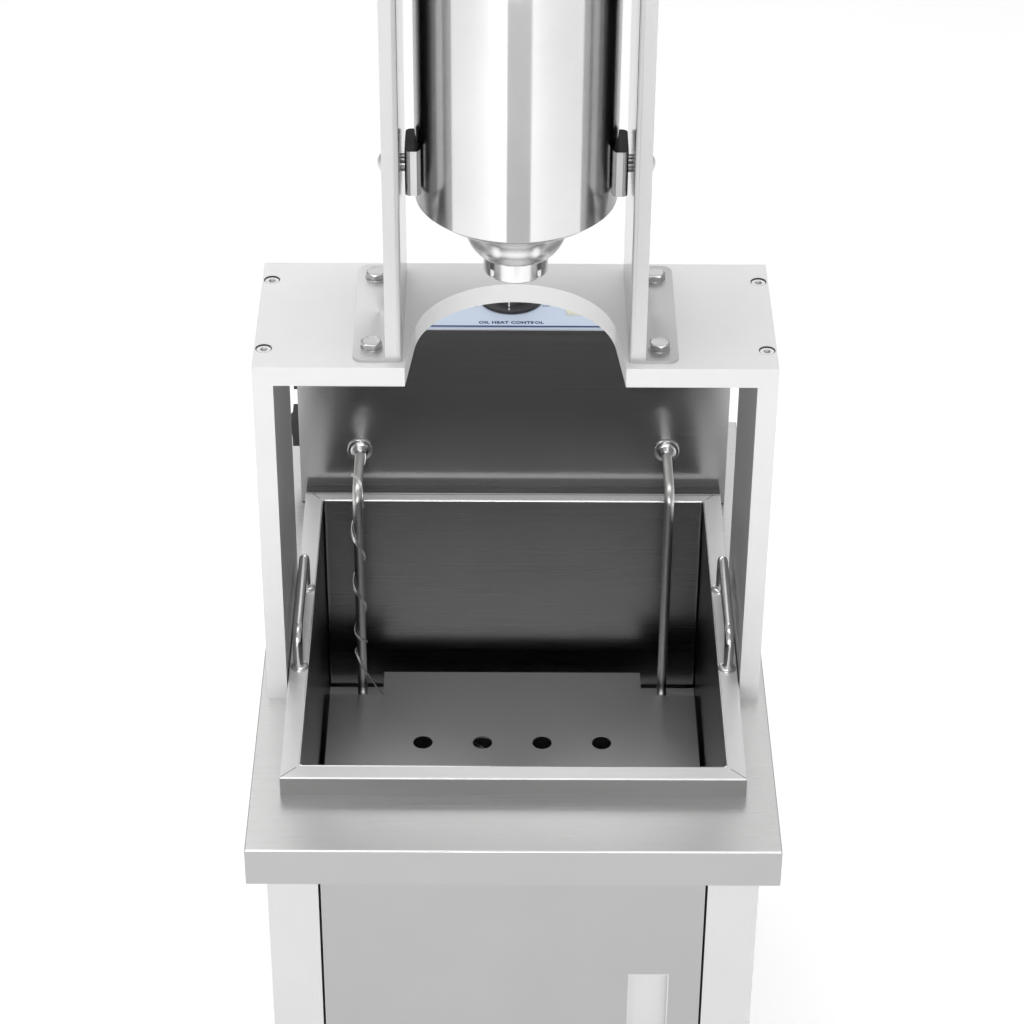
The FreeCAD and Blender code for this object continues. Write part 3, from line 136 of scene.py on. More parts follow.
def noise(nodes, links, place, scale, detail=3.0, rough=0.6):
    item = nodes.new("ShaderNodeTexNoise")
    item.inputs["Scale"].default_value = scale
    item.inputs["Detail"].default_value = detail
    item.inputs["Roughness"].default_value = rough
    links.new(place, item.inputs["Vector"])
    return item.outputs["Fac"]


def ramp(nodes, links, fac, low, high):
    item = nodes.new("ShaderNodeValToRGB")
    for element, position, tone in zip(item.color_ramp.elements, (0.3, 0.7), (low, high)):
        element.position = position
        element.color = (*tone, 1.0)
    links.new(fac, item.inputs["Fac"])
    return item.outputs["Color"]


def to_range(nodes, links, fac, low, high):
    item = nodes.new("ShaderNodeMapRange")
    item.inputs["From Min"].default_value = 0.25
    item.inputs["From Max"].default_value = 0.75
    item.inputs["To Min"].default_value = low
    item.inputs["To Max"].default_value = high
    links.new(fac, item.inputs["Value"])
    return item.outputs["Result"]


def bump(nodes, links, shader, height, strength, distance=0.0002):
    item = nodes.new("ShaderNodeBump")
    item.inputs["Strength"].default_value = strength
    item.inputs["Distance"].default_value = distance
    links.new(height, item.inputs["Height"])
    links.new(item.outputs["Normal"], shader.inputs["Normal"])


def tone_range(tone, spread):
    dark = tuple(max(0.0, c - spread) for c in tone)
    light = tuple(min(1.0, c + spread) for c in tone)
    return dark, light


def brushed(name, tone, rough, grain="x", depth=0.25, spread=0.05, metallic=1.0):
    """Brushed or satin metal: long fine scratches along one axis and faint cloudy stains."""
    material, nodes, links, shader = new_material(name)
    fine = {"x": (6, 900, 900), "y": (900, 6, 900), "z": (900, 900, 6)}[grain]
    lines = noise(nodes, links, texture_place(nodes, links, fine), 1.0, 4.0, 0.7)
    cloud = noise(nodes, links, texture_place(nodes, links, (1, 1, 1)), 9.0, 2.0)
    dark, light = tone_range(tone, spread)
    mixer = nodes.new("ShaderNodeMix")
    mixer.data_type = "RGBA"
    mixer.inputs["Factor"].default_value = 0.5
    links.new(ramp(nodes, links, lines, dark, light), mixer.inputs["A"])
    links.new(ramp(nodes, links, cloud, dark, light), mixer.inputs["B"])
    links.new(mixer.outputs["Result"], shader.inputs["Base Color"])
    links.new(to_range(nodes, links, lines, rough * 0.8, rough * 1.25), shader.inputs["Roughness"])
    shader.inputs["Metallic"].default_value = metallic
    shader.inputs["Anisotropic"].default_value = 0.4
    bump(nodes, links, shader, lines, depth)
    return material


def polished(name, tone, rough, metallic=1.0):
    """Polished metal with faint wiping marks that only change the gloss."""
    material, nodes, links, shader = new_material(name)
    marks = noise(nodes, links, texture_place(nodes, links, (30, 30, 4)), 1.0, 4.0)
    cloud = noise(nodes, links, texture_place(nodes, links, (1, 1, 1)), 14.0)
    dark = tuple(c * 0.94 for c in tone)
    links.new(ramp(nodes, links, cloud, dark, tone), shader.inputs["Base Color"])
    links.new(to_range(nodes, links, marks, rough * 0.7, rough * 1.5), shader.inputs["Roughness"])
    shader.inputs["Metallic"].default_value = metallic
    bump(nodes, links, shader, cloud, 0.02)
    return material


def grained(name, tone, rough, scale=900.0, depth=0.15, metallic=0.0, spread=0.03, coat=0.0):
    """Moulded plastic, rubber or blasted metal: an even fine grain with a little tone variation."""
    material, nodes, links, shader = new_material(name)
    place = texture_place(nodes, links, (1, 1, 1))
    grain = noise(nodes, links, place, scale, 2.0)
    cloud = noise(nodes, links, place, 22.0)
    dark, light = tone_range(tone, spread)
    links.new(ramp(nodes, links, cloud, dark, light), shader.inputs["Base Color"])
    gloss = to_range(nodes, links, grain, rough * 0.85, min(1.0, rough * 1.15))
    links.new(gloss, shader.inputs["Roughness"])
    shader.inputs["Metallic"].default_value = metallic
    shader.inputs["Coat Weight"].default_value = coat
    bump(nodes, links, shader, grain, depth, 0.0001)
    return material


def blasted(name, tone, rough=0.55, metallic=0.3):
    """Bead-blasted aluminium."""
    return grained(name, (tone, tone, tone), rough, 1500.0, 0.1, metallic, 0.01)


MATERIALS = {
    "brushed_steel": lambda: brushed("worktop_steel", (0.78, 0.78, 0.775), 0.30, "x", 0.12, 0.02),
    "panel_steel": lambda: brushed("panel_steel", (0.64, 0.64, 0.64), 0.34, "z", 0.10, 0.02),
    "tank_steel": lambda: brushed("tank_steel", (0.42, 0.42, 0.425), 0.30, "x", 0.12, 0.03),
    "polished_steel": lambda: polished("polished_steel", (0.79, 0.79, 0.79), 0.09),
    "bright_bar": lambda: polished("bright_bar", (0.86, 0.86, 0.86), 0.20),
    "matte_aluminium": lambda: blasted("matte_aluminium", 0.81),
    "upright_steel": lambda: brushed("upright_steel", (0.62, 0.62, 0.62), 0.36, "z", 0.12, 0.02),
    "fastener_steel": lambda: polished("fastener_steel", (0.72, 0.72, 0.72), 0.20),
    "gear_steel": lambda: brushed("gear_steel", (0.52, 0.52, 0.53), 0.3),
    "bronze": lambda: brushed("bronze", (0.62, 0.42, 0.20), 0.35, "z"),
    "food_plastic": lambda: grained("food_plastic", (0.84, 0.84, 0.81), 0.42),
    "seal_rubber": lambda: grained("seal_rubber", (0.72, 0.72, 0.68), 0.6),
    "foot_rubber": lambda: grained("foot_rubber", (0.045, 0.045, 0.045), 0.62),
    "black_plastic": lambda: grained("black_plastic", (0.022, 0.022, 0.025), 0.4, spread=0.006),
    "grip_plastic": lambda: grained("grip_plastic", (0.05, 0.05, 0.055), 0.5, spread=0.012),
    "label_film": lambda: grained("label_film", (0.64, 0.73, 0.88), 0.4, spread=0.01, coat=0.1),
    "lamp_lens": lambda: grained("lamp_lens", (0.85, 0.82, 0.66), 0.3, coat=0.5),
    "heater_tube": lambda: brushed("heater_tube", (0.77, 0.77, 0.76), 0.38, "z", 0.12, 0.04),
}


def paint(item, material):
    item.data.materials.clear()
    item.data.materials.append(material)


def second_finish(node, material, chosen):
    """Give some faces of a CAD node another finish; chosen tests a face's centre and normal."""
    mesh = NODES[node].data
    mesh.materials.append(material)
    place = len(mesh.materials) - 1
    for face in mesh.polygons:
        if chosen(face.center, face.normal):
            face.material_index = place


def dress_nodes():
    """Every CAD node takes the material of its slot."""
    made = {}
    for entry in frame["record"]["subparts"]:
        slot = entry["material_slot"]
        if slot not in made:
            made[slot] = MATERIALS[slot]()
        paint(NODES[entry["node"]], made[slot])
    return made


def inside_well(c):
    return abs(c.x) < WELL_X + 0.0005 and abs(c.y - TANK_Y) < WELL_Y + 0.0005


def dress_tank():
    """A ground rim whose folded front is painted darker as shade, and a well whose side walls and floor are
    painted near black as shade.
    """
    rim = brushed("rim_steel", (0.88, 0.88, 0.88), 0.36, "x", 0.10, 0.02, 0.60)
    second_finish("oil_tank", rim, lambda c, n: c.z > RIM_Z - 0.021 and not inside_well(c))
    # Painted shade: the tank's folded front face takes a darker copy of the rim's steel.
    fold = brushed("rim_front_painted_shade", (0.46, 0.46, 0.46), 0.32, "x", 0.10, 0.02)
    second_finish("oil_tank", fold, lambda c, n: n.y < -SQUARE and c.y < tank_low.y + 0.001)
    # Painted shade: the well's side walls and floor are painted near black.
    walls = brushed("well_side_painted_shade", (0.095, 0.095, 0.095), 0.30, "x", 0.12, 0.03)
    second_finish("oil_tank", walls,
                  lambda c, n: abs(n.x) > SQUARE and c.z < RIM_Z - 0.004 and inside_well(c))
    floor = brushed("well_floor_painted_shade", (0.10, 0.10, 0.10), 0.35, "x", 0.12, 0.03)
    second_finish("oil_tank", floor, lambda c, n: n.z > SQUARE and c.z < tank_low.z + 0.01)


def dress_bridge():
    """The bridge's plates and the uprights' webs and feet, with painted light on the top plate's top, the
    arch's front and the feet's tops, and painted shade on the inner faces of the side plates and uprights.
    """
    # Painted light: the top plate's upward faces are a lighter copy of the aluminium.
    bright = blasted("plate_top_painted_light", 0.92)
    second_finish("bridge_top_plate", bright, lambda c, n: n.z > SQUARE)
    # Painted light: the arch's forward faces are lighter still.
    arch = blasted("arch_front_painted_light", 0.96, 0.6, 0.0)
    second_finish("bridge_top_plate", arch, lambda c, n: n.y < -0.15 and abs(c.x) < 0.108)
    # Painted shade: the side plates' inner faces and the uprights' inner faces take darker copies of their
    # metal.
    inner = blasted("shaded_aluminium", 0.42, 0.5)
    shade = brushed("shaded_web", (0.50, 0.50, 0.50), 0.16, "z", 0.04, 0.02)
    # Painted light: the feet's tops are lighter copies of the upright's steel, the left one lighter than the
    # right.
    feet = {"left": brushed("foot_painted_light_left", (0.80, 0.80, 0.80), 0.44, "y", 0.10, 0.02),
            "right": brushed("foot_painted_light", (0.65, 0.65, 0.65), 0.40, "y", 0.10, 0.02)}
    for side, word in SIDES:
        upright = "upright_" + word
        second_finish(upright, feet[word], lambda c, n: n.z > SQUARE and c.z < plate_high.z + 0.01)
        second_finish(upright, shade, lambda c, n, side=side: n.x * side < -SQUARE)
        second_finish("bridge_side_plate_" + word, inner, lambda c, n, side=side: n.x * side < -SQUARE)


def dress_cabinet():
    """Fronts that face the room are painted a little darker than the worktop as shade, and the hook's top is
    painted dark as shade.
    """
    # Painted shade: the door's front takes a darker copy of the steel.
    door = brushed("door_front_painted_shade", (0.43, 0.43, 0.43), 0.36, "x", 0.08, 0.015)
    second_finish("door", door, lambda c, n: n.y < -SQUARE)
    # Painted shade: the worktop's upright lip faces are darker than its top.
    lip = brushed("lip_painted_shade", (0.45, 0.45, 0.45), 0.34, "x", 0.08, 0.015)
    second_finish("worktop", lip, lambda c, n: abs(n.z) < 0.3)
    # Painted shade: the head's front panel is darker than the rest of the housing.
    front = brushed("head_front_painted_shade", (0.56, 0.56, 0.56), 0.20, "x", 0.02, 0.005)
    second_finish("head_housing", front, lambda c, n: n.y < -SQUARE)
    # Painted shade: the top of the hook under the head's front is painted dark.
    hook = brushed("hook_top_painted_shade", (0.21, 0.21, 0.21), 0.30, "x", 0.08, 0.01)
    second_finish("head_housing", hook,
                  lambda c, n: n.z > SQUARE and c.y < HEAD_Y and c.z < head_low.z + 0.03)


def dress_fittings():
    """Pins, lugs, ring nut and cap screws, with painted shade on the pins' shanks and painted dark
    reflections on the lugs' sides and tops.
    """
    paint(NODES["trunnion_pins"], grained("pin_steel", (0.74, 0.74, 0.74), 0.35, 1200.0, 0.1, 0.9, 0.01))
    # Painted shade: the pins' shanks between the uprights are darker than their ends.
    shank = polished("pin_shank_painted_shade", (0.30, 0.30, 0.30), 0.12)
    second_finish("trunnion_pins", shank, lambda c, n: abs(c.x) < WEB_X + 0.001)
    paint(NODES["nozzle_nut"], polished("ring_nut_steel", (0.84, 0.84, 0.84), 0.15))
    caps = polished("cap_steel", (0.90, 0.90, 0.90), 0.14)
    paint(NODES["bridge_cap_screws"], caps)
    paint(NODES["bridge_base_screws"], caps)
    paint(NODES["cylinder_lugs"], polished("lug_steel", (0.60, 0.60, 0.60), 0.22))
    # Painted dark reflection: the lugs' sides are nearly black.
    corner = polished("lug_side_painted_reflection", (0.16, 0.16, 0.16), 0.20)
    second_finish("cylinder_lugs", corner, lambda c, n: abs(n.z) < 0.3 and abs(n.x) > 0.80)
    # Painted dark reflection: the lugs' tops are black.
    top = polished("lug_top_painted_reflection", (0.008, 0.008, 0.008), 0.25)
    second_finish("cylinder_lugs", top, lambda c, n: n.z > SQUARE)


# ------------------------------------------------------------------ mesh tools

def new_object(name, work, material):
    bmesh.ops.recalc_face_normals(work, faces=work.faces)
    mesh = bpy.data.meshes.new(name)
    work.to_mesh(mesh)
    work.free()
    item = bpy.data.objects.new(name, mesh)
    scene.collection.objects.link(item)
    paint(item, material)
    return item


def add_piece(name, work, body, material, smooth=True, sharp=None):
    item = new_object(name, work, material)
    for face in item.data.polygons:
        face.use_smooth = smooth
    if sharp:
        item.data.set_sharp_from_angle(angle=math.radians(sharp))
    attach(item, body)
    return item


def ring(work, centre, turn, radius, lift, steps):
    """A loop of points round the turned Z axis through centre."""
    return [work.verts.new(centre + turn @ Vector((radius * math.cos(a), radius * math.sin(a), lift)))
            for a in (2 * math.pi * k / steps for k in range(steps))]


def join_rings(work, rings, closed=False, capped=False):
    """Faces from each ring to the next; closed joins the last to the first, capped fills both ends."""
    following = rings[1:] + rings[:1] if closed else rings[1:]
    for first, second in zip(rings, following):
        steps = len(first)
        for k in range(steps):
            m = (k + 1) % steps
            work.faces.new((first[k], first[m], second[m], second[k]))
    if capped:
        work.faces.new(rings[-1])
        work.faces.new(reversed(rings[0]))


def turned(work, outline, centre, turn, steps):
    """A closed outline of (radius, lift) pairs turned into a ring-shaped solid."""
    join_rings(work, [ring(work, centre, turn, radius, lift, steps) for radius, lift in outline], closed=True)


def disc(work, centre, turn, radius, height, edge=0.0003, steps=64):
    """A flat round washer with a broken upper edge."""
    outline = ((radius, 0.0), (radius, height - edge), (radius - edge, height))
    join_rings(work, [ring(work, centre, turn, reach, lift, steps) for reach, lift in outline], capped=True)


def hex_head(work, centre, turn, across, height, crown=0.94, steps=72):
    """A hexagon with its corners chamfered by a cone, standing on centre along the turned Z axis."""
    flat = across / 2
    top = flat * crown
    rings = [[], [], [], []]
    for n in range(steps):
        angle = 2 * math.pi * n / steps
        corner = flat / math.cos((angle + math.pi / 6) % (math.pi / 3) - math.pi / 6)
        drop = (corner - top) * 0.62
        heights = (0.0, height - drop, height, height - 0.0002)
        for loop, radius, z in zip(rings, (corner, corner, top, top * 0.86), heights):
            point = Vector((radius * math.cos(angle), radius * math.sin(angle), z))
            loop.append(work.verts.new(centre + turn @ point))
    join_rings(work, rings, capped=True)


def smooth_line(points, steps=6):
    """Points along a Catmull-Rom line through the given points."""
    ends = [points[0]] + list(points) + [points[-1]]
    out = []
    for a, b, c, d in zip(ends, ends[1:], ends[2:], ends[3:]):
        for n in range(steps):
            t = n / steps
            out.append(tuple(0.5 * (2 * q + (r - p) * t + (2 * p - 5 * q + 4 * r - s) * t * t
                                    + (3 * q - p - 3 * r + s) * t ** 3)
                             for p, q, r, s in zip(a, b, c, d)))
    out.append(tuple(points[-1]))
    return out


def sweep(name, points, radius, body, material, sides=10):
    """A round rod along a line of points, closed at both ends; radius may depend on the way along."""
    work = bmesh.new()
    points = [Vector(p) for p in points]
    last = len(points) - 1
    side = None
    rings = []
    for n, here in enumerate(points):
        ahead = (points[min(n + 1, last)] - points[max(n - 1, 0)]).normalized()
        if side is None:
            side = ahead.orthogonal().normalized()
        side = (side - ahead * side.dot(ahead)).normalized()
        other = ahead.cross(side)
        r = radius(n / last) if callable(radius) else radius
        rings.append([work.verts.new(here + (side * math.cos(a) + other * math.sin(a)) * r)
                      for a in (2 * math.pi * k / sides for k in range(sides))])
    join_rings(work, rings, capped=True)
    return add_piece(name, work, body, material)


def box_into(work, low, high, bevel=0.0, turn=None):
    """A small box with its edges broken; turn is an (angle, centre) about Z."""
    corners = bmesh.ops.create_cube(work, size=1.0)["verts"]
    low = Vector(low)
    size = Vector(high) - low
    half = Vector((0.5, 0.5, 0.5))
    for v in corners:
        v.co = (v.co + half) * size + low
    if turn:
        angle, centre = turn
        spin = Matrix.Rotation(angle, 4, "Z")
        place = Matrix.Translation(centre) @ spin @ Matrix.Translation(-Vector(centre))
        bmesh.ops.transform(work, matrix=place, verts=corners)
    if bevel:
        edges = {e for v in corners for e in v.link_edges}
        bmesh.ops.bevel(work, geom=list(edges), offset=bevel, segments=2, affect="EDGES", profile=0.5)


def add_text(name, words, place, height, material):
    data = bpy.data.curves.new(name, "FONT")
    data.body = words
    data.size = height
    data.align_x = "CENTER"
    data.align_y = "CENTER"
    data.extrude = 0.00003
    item = bpy.data.objects.new(name, data)
    scene.collection.objects.link(item)
    item.location = place
    data.materials.append(material)
    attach(item, "head")
    return item


# ------------------------------------------------------------------ pieces

def make_funnel():
    """The funnel with one smooth turned outline: a bowl, then a rounded collar down to the ring nut."""
    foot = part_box("dough_funnel")[0].z
    bottom = cylinder_low.z
    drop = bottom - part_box("nozzle_nut")[1].z
    r = cylinder_high.x - 0.0025
    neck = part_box("star_nozzle")[1].x
    bowl = smooth_line([(r - 0.002, bottom), (r * 0.965, bottom - drop * 0.04),
                        (r * 0.90, bottom - drop * 0.13), (r * 0.76, bottom - drop * 0.27),
                        (r * 0.59, bottom - drop * 0.43)])
    collar = smooth_line([(r * 0.56, bottom - drop * 0.47), (r * 0.54, bottom - drop * 0.50),
                          (r * 0.515, bottom - drop * 0.60), (r * 0.49, bottom - drop * 0.74),
                          (r * 0.45, bottom - drop * 0.86), (r * 0.40, bottom - drop * 0.95),
                          (r * 0.35, bottom - drop)])
    outline = [(r - 0.004, bottom + 0.004), (r - 0.002, bottom + 0.004)] + bowl + collar
    outline += [(neck * 0.98, bottom - drop), (neck * 0.98, foot), (neck * 0.80, foot),
                (neck * 0.80, bottom - drop + 0.002)]
    outline += [(x - 0.003, z + 0.001) for x, z in reversed(collar[:-6])]
    outline += [(x - 0.002, z + 0.0025) for x, z in reversed(bowl[6:])]
    work = bmesh.new()
    turned(work, outline, Vector((0.0, AXIS_Y, 0.0)), UPRIGHT, 160)
    satin = polished("funnel_steel", (0.92, 0.92, 0.92), 0.18, 0.80)
    item = add_piece("funnel_turned", work, "cylinder", satin)
    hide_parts("dough_funnel")


def make_bolts(made):
    """Chamfered hexagon heads with washers on the uprights' feet, in place of the plain ones."""
    low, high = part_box("upright_bolts")
    washer = 0.010
    sheet = 0.0008
    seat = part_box("upright_left")[0].z + 0.003
    places = [(x, y) for x in (low.x + washer, high.x - washer) for y in (low.y + washer, high.y - washer)]
    work = bmesh.new()
    for (x, y), spin in zip(places, (0.35, -0.12, 0.08, 0.5)):
        disc(work, Vector((x, y, seat)), UPRIGHT, washer, sheet)
        turn = Matrix.Rotation(spin, 3, "Z")
        hex_head(work, Vector((x, y, seat + sheet)), turn, 0.0169, high.z - seat - sheet)
        disc(work, Vector((x, y, low.z)), UPRIGHT, 0.005, seat - low.z, 0.0001, 32)
    item = add_piece("upright_bolts_cut", work, "cabinet", made["fastener_steel"], sharp=22)
    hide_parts("upright_bolts")


def make_element_fittings():
    """Turned flanges with a bright bead and a tapered collar on the head's front, and the nuts behind it."""
    bore = 0.0053
    outline = ((bore, 0.0), (0.0128, 0.0), (0.0130, 0.0022), (0.0124, 0.0029), (0.0098, 0.0031),
               (0.0095, 0.0036), (0.0098, 0.0044), (0.0096, 0.0052), (0.0088, 0.0055), (0.0078, 0.0085),
               (0.0067, 0.0116), (bore, 0.0119))
    inside = Vector((0.0, 0.0015, 0.0))
    work = bmesh.new()
    for side, _ in SIDES:
        face = Vector((side * abs(ELEMENT_X), HEAD_Y, ELEMENT_Z))
        turned(work, outline, face, FORWARD, 64)
        hex_head(work, face + inside, BACKWARD, 0.0198, 0.0058)
    shine = polished("fitting_steel", (0.74, 0.74, 0.735), 0.16)
    item = add_piece("element_fittings", work, "head", shine, sharp=35)
    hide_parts("element_nuts")


def make_cap_rings():
    """Dark rings round the sunk cap screws of the bridge's top plate: painted shadow in their clearance."""
    low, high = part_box("bridge_cap_screws")
    head = 0.0065
    top = plate_high.z - 0.0006
    outline = ((head + 0.0001, 0.0), (head + 0.0005, 0.0004), (head + 0.00095, 0.0), (head + 0.0005, -0.0004))
    work = bmesh.new()
    for x in (low.x + head, high.x - head):
        for y in (low.y + head, high.y - head):
            turned(work, outline, Vector((x, y, top)), UPRIGHT, 48)
    # Painted shadow: near-black rings where the clearance round each screw lies in shade.
    shade = grained("painted_shadow_ring", (0.05, 0.05, 0.05), 0.6, 900.0, 0.1, 0.5, 0.01)
    add_piece("cap_painted_shadow_rings", work, "cabinet", shade)


def make_threads(made):
    """Threads of the two trunnion pins, seen in the gaps between the lugs and the uprights."""
    low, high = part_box("trunnion_pins")
    middle = (low.z + high.z) / 2
    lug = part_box("cylinder_lugs")[1].x
    gap = WEB_X - lug - 0.0008
    radius = 0.0049
    turns = gap / 0.0015
    count = int(turns * 24)
    for side, word in SIDES:
        points = []
        for n in range(count + 1):
            angle = 2 * math.pi * turns * n / count
            points.append((side * (lug + 0.0004 + gap * n / count), AXIS_Y + radius * math.cos(angle),
                           middle + radius * math.sin(angle)))
        sweep("pin_thread_" + word, points, 0.00055, "cylinder", made["fastener_steel"], 6)


def left_leg():
    """(y, z) along the middle of the element's left tube: forward, round its bend and down to the guard."""
    start = HEAD_Y - 0.004
    front = LEG_Y + TUBE_BEND
    under = ELEMENT_Z - TUBE_BEND
    foot = GUARD_Z + 0.0445
    line = [(start - (start - front) * n / 20, ELEMENT_Z) for n in range(21)]
    for n in range(1, 11):
        angle = math.pi / 2 * n / 10
        line.append((front - TUBE_BEND * math.sin(angle), under + TUBE_BEND * math.cos(angle)))
    line += [(LEG_Y, under - (under - foot) * n / 160) for n in range(1, 161)]
    return line


def make_capillaries():
    """Two thermostat capillaries, wound loosely down the element's left leg and led under the guard."""
    steel = polished("capillary_steel", (0.95, 0.95, 0.94), 0.30)
    line = left_leg()
    under = ELEMENT_Z - TUBE_BEND
    tight = GUARD_Z + 0.075
    wide_pitch, tight_pitch = 0.065, 0.03
    first_turn = WORKTOP_Z + 0.022
    for wire, (lag, gap) in enumerate(((0.0, 0.0), (0.30, 0.0003))):
        points = []
        for n, (y, z) in enumerate(line):
            before = line[max(n - 1, 0)]
            after = line[min(n + 1, len(line) - 1)]
            ahead = Vector((0.0, after[0] - before[0], after[1] - before[1])).normalized()
            out = Vector((0.0, ahead.z, -ahead.y))
            level = z if z < under else under + y - LEG_Y
            turns = (first_turn - max(level, tight)) / wide_pitch + max(0.0, tight - level) / tight_pitch
            angle = 2 * math.pi * turns - lag
            reach = 0.0057 + gap + 0.0006 * (1 + math.cos(angle))
            across = Vector((-math.cos(angle), 0, 0)) * reach
            points.append(Vector((ELEMENT_X, y, z)) + across + out * math.sin(angle) * reach)
        points = [tuple(p) for p in points[:-1]] + smooth_line(capillary_tail(points[-1], 0.004 * wire), 8)
        sweep(f"capillary_{wire + 1}", points, 0.00068, "head", steel, 8)
        start = Vector(points[-1])
        bulb = [start + Vector((0.004 * n, 0, 0)) for n in range(24)]
        sweep(f"sensor_bulb_{wire + 1}", bulb, lambda t: 0.003 * min(1.0, 0.35 + 6 * t, 0.35 + 6 * (1 - t)),
              "head", steel, 14)


def capillary_tail(last, shift):
    """From the last turn round the leg, over the guard's notch and under the guard to the bulb."""
    return [tuple(last), (ELEMENT_X - 0.0010 + shift / 4, LEG_Y - 0.0085, last.z - 0.010),
            (ELEMENT_X + 0.0085, LEG_Y - 0.0100, last.z - 0.026),
            (ELEMENT_X + 0.0190, LEG_Y - 0.0125, GUARD_Z + 0.002),
            (-0.120 + shift, LEG_Y - 0.018, GUARD_Z - 0.016), (-0.075, 0.062 + shift, GUARD_Z - 0.017),
            (-0.036, 0.028 + shift, GUARD_Z - 0.010), (-0.020, 0.010 + shift, GUARD_Z - 0.010),
            (0.004, -0.014 + shift * 4, GUARD_Z - 0.016), (0.030, -0.020 + shift * 5, GUARD_Z - 0.020)]


def make_rim_seams():
    """Ground weld lines across the mitred corners of the tank's rim."""
    work = bmesh.new()
    for side in (-1, 1):
        for end in (-1, 1):
            start = Vector((side * (tank_high.x - 0.0012), TANK_Y + end * (TANK_HALF_Y - 0.0012), 0))
            stop = Vector((side * (WELL_X + 0.003), TANK_Y + end * (WELL_Y + 0.003), 0))
            along = stop - start
            middle = (start + stop) / 2
            half = Vector((along.length / 2, 0.00045, 0))
            box_into(work, middle - half + Vector((0, 0, RIM_Z - 0.0004)),
                     middle + half + Vector((0, 0, RIM_Z + 0.00015)), 0.00012,
                     (math.atan2(along.y, along.x), (middle.x, middle.y, RIM_Z)))
    weld = brushed("weld_line", (0.40, 0.40, 0.40), 0.4, "x", 0.1)
    add_piece("rim_weld_lines", work, "tank", weld, False)


def make_rim_fold():
    """The rounded fold where the rim's flat turns down into the well: a thin bright line in strong light."""
    corner = 0.0035
    half_x = WELL_X + 0.0004 - corner
    half_y = WELL_Y + 0.0004 - corner
    points = []
    for side, end, start in ((1, -1, -90), (1, 1, 0), (-1, 1, 90), (-1, -1, 180)):
        for n in range(9):
            angle = math.radians(start + 90 * n / 8)
            points.append((side * half_x + corner * math.cos(angle),
                           TANK_Y + end * half_y + corner * math.sin(angle), RIM_Z - 0.0009))
    points.append(points[0])
    fold = polished("fold_line", (0.92, 0.92, 0.92), 0.16)
    sweep("rim_fold_line", points, 0.0011, "tank", fold, 12)


def make_handle_welds(made):
    """Weld beads round the feet of the tank's two handles."""
    low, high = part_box("tank_handles")
    bar = 0.0056
    outline = ((bar + 0.0030, 0.0), (bar + 0.0026, 0.0014), (bar + 0.0012, 0.0026), (bar, 0.0034),
               (bar - 0.001, 0.0034), (bar - 0.001, -0.0006))
    work = bmesh.new()
    for side, _ in SIDES:
        for y in (low.y + bar, high.y - bar):
            turned(work, outline, Vector((side * (high.x - bar), y, RIM_Z)), UPRIGHT, 32)
    add_piece("handle_welds", work, "tank", made["bright_bar"])


def make_well_seams():
    """The well's welded seams as dark lines up its back corners, a dark line of painted shadow along its
    foot, and a strip of painted light across the back of its floor.
    """
    work = bmesh.new()
    # Painted light: a lighter strip across the back of the dark floor, where light reaches it.
    box_into(work, (0.0006 - WELL_X, WELL_BACK - 0.0165, WELL_FLOOR - 0.0004),
             (WELL_X - 0.0006, WELL_BACK - 0.0028, WELL_FLOOR + 0.0005), 0.0002)
    strip = brushed("painted_light_strip", (0.62, 0.62, 0.62), 0.45, "x", 0.2, 0.05, 0.6)
    add_piece("well_painted_light_strip", work, "tank", strip, False)
    # One dark finish for the corner seams, which are joints, and for the foot line, which is painted shadow.
    dark = brushed("seam_and_painted_shadow_line", (0.035, 0.035, 0.035), 0.5, "z", 0.2, 0.01)
    tall = RIM_Z - 0.004 - WELL_FLOOR
    for side, word in SIDES:
        points = [(side * (WELL_X - 0.0011), WELL_BACK - 0.0011, WELL_FLOOR + 0.002 + tall * n / 12)
                  for n in range(13)]
        sweep("well_seam_" + word, points, 0.0009, "tank", dark, 8)
    # Painted shadow: a dark line along the foot of the back wall.
    reach = WELL_X - 0.0015
    points = [(reach * (n / 20 - 1), WELL_BACK - 0.0012, WELL_FLOOR + 0.0012) for n in range(41)]
    sweep("well_foot_painted_shadow", points, 0.0010, "tank", dark, 8)


def make_label_print():
    """Printed lines, a caption and the dial's scale, on the label behind the rim of the head."""
    ink = grained("print_ink", (0.015, 0.035, 0.16), 0.5, spread=0.005)
    front = label_low.y
    top = label_high.z
    work = bmesh.new()
    for near, far in ((0.0030, 0.0060), (0.0018, 0.0022)):
        box_into(work, (label_low.x + 0.003, front + near, top - 0.0002),
                 (label_high.x - 0.003, front + far, top + 0.00006), 0.00003)
    add_piece("label_lines", work, "head", ink, False)
    caption = add_text("label_caption", "OIL HEAT CONTROL", (DIAL_X, front + 0.0116, top), 0.0064, ink)
    caption.data.space_character = 1.10
    caption.data.offset = 0.00036
    radius = DIAL_RADIUS + 0.006
    for n, word in enumerate(("0", "50", "100", "150", "200")):
        angle = math.radians(205 - 57.5 * n)
        place = (DIAL_X + radius * math.cos(angle), DIAL_Y + radius * math.sin(angle), top)
        add_text(f"scale_{word}", word, place, 0.0052, ink)


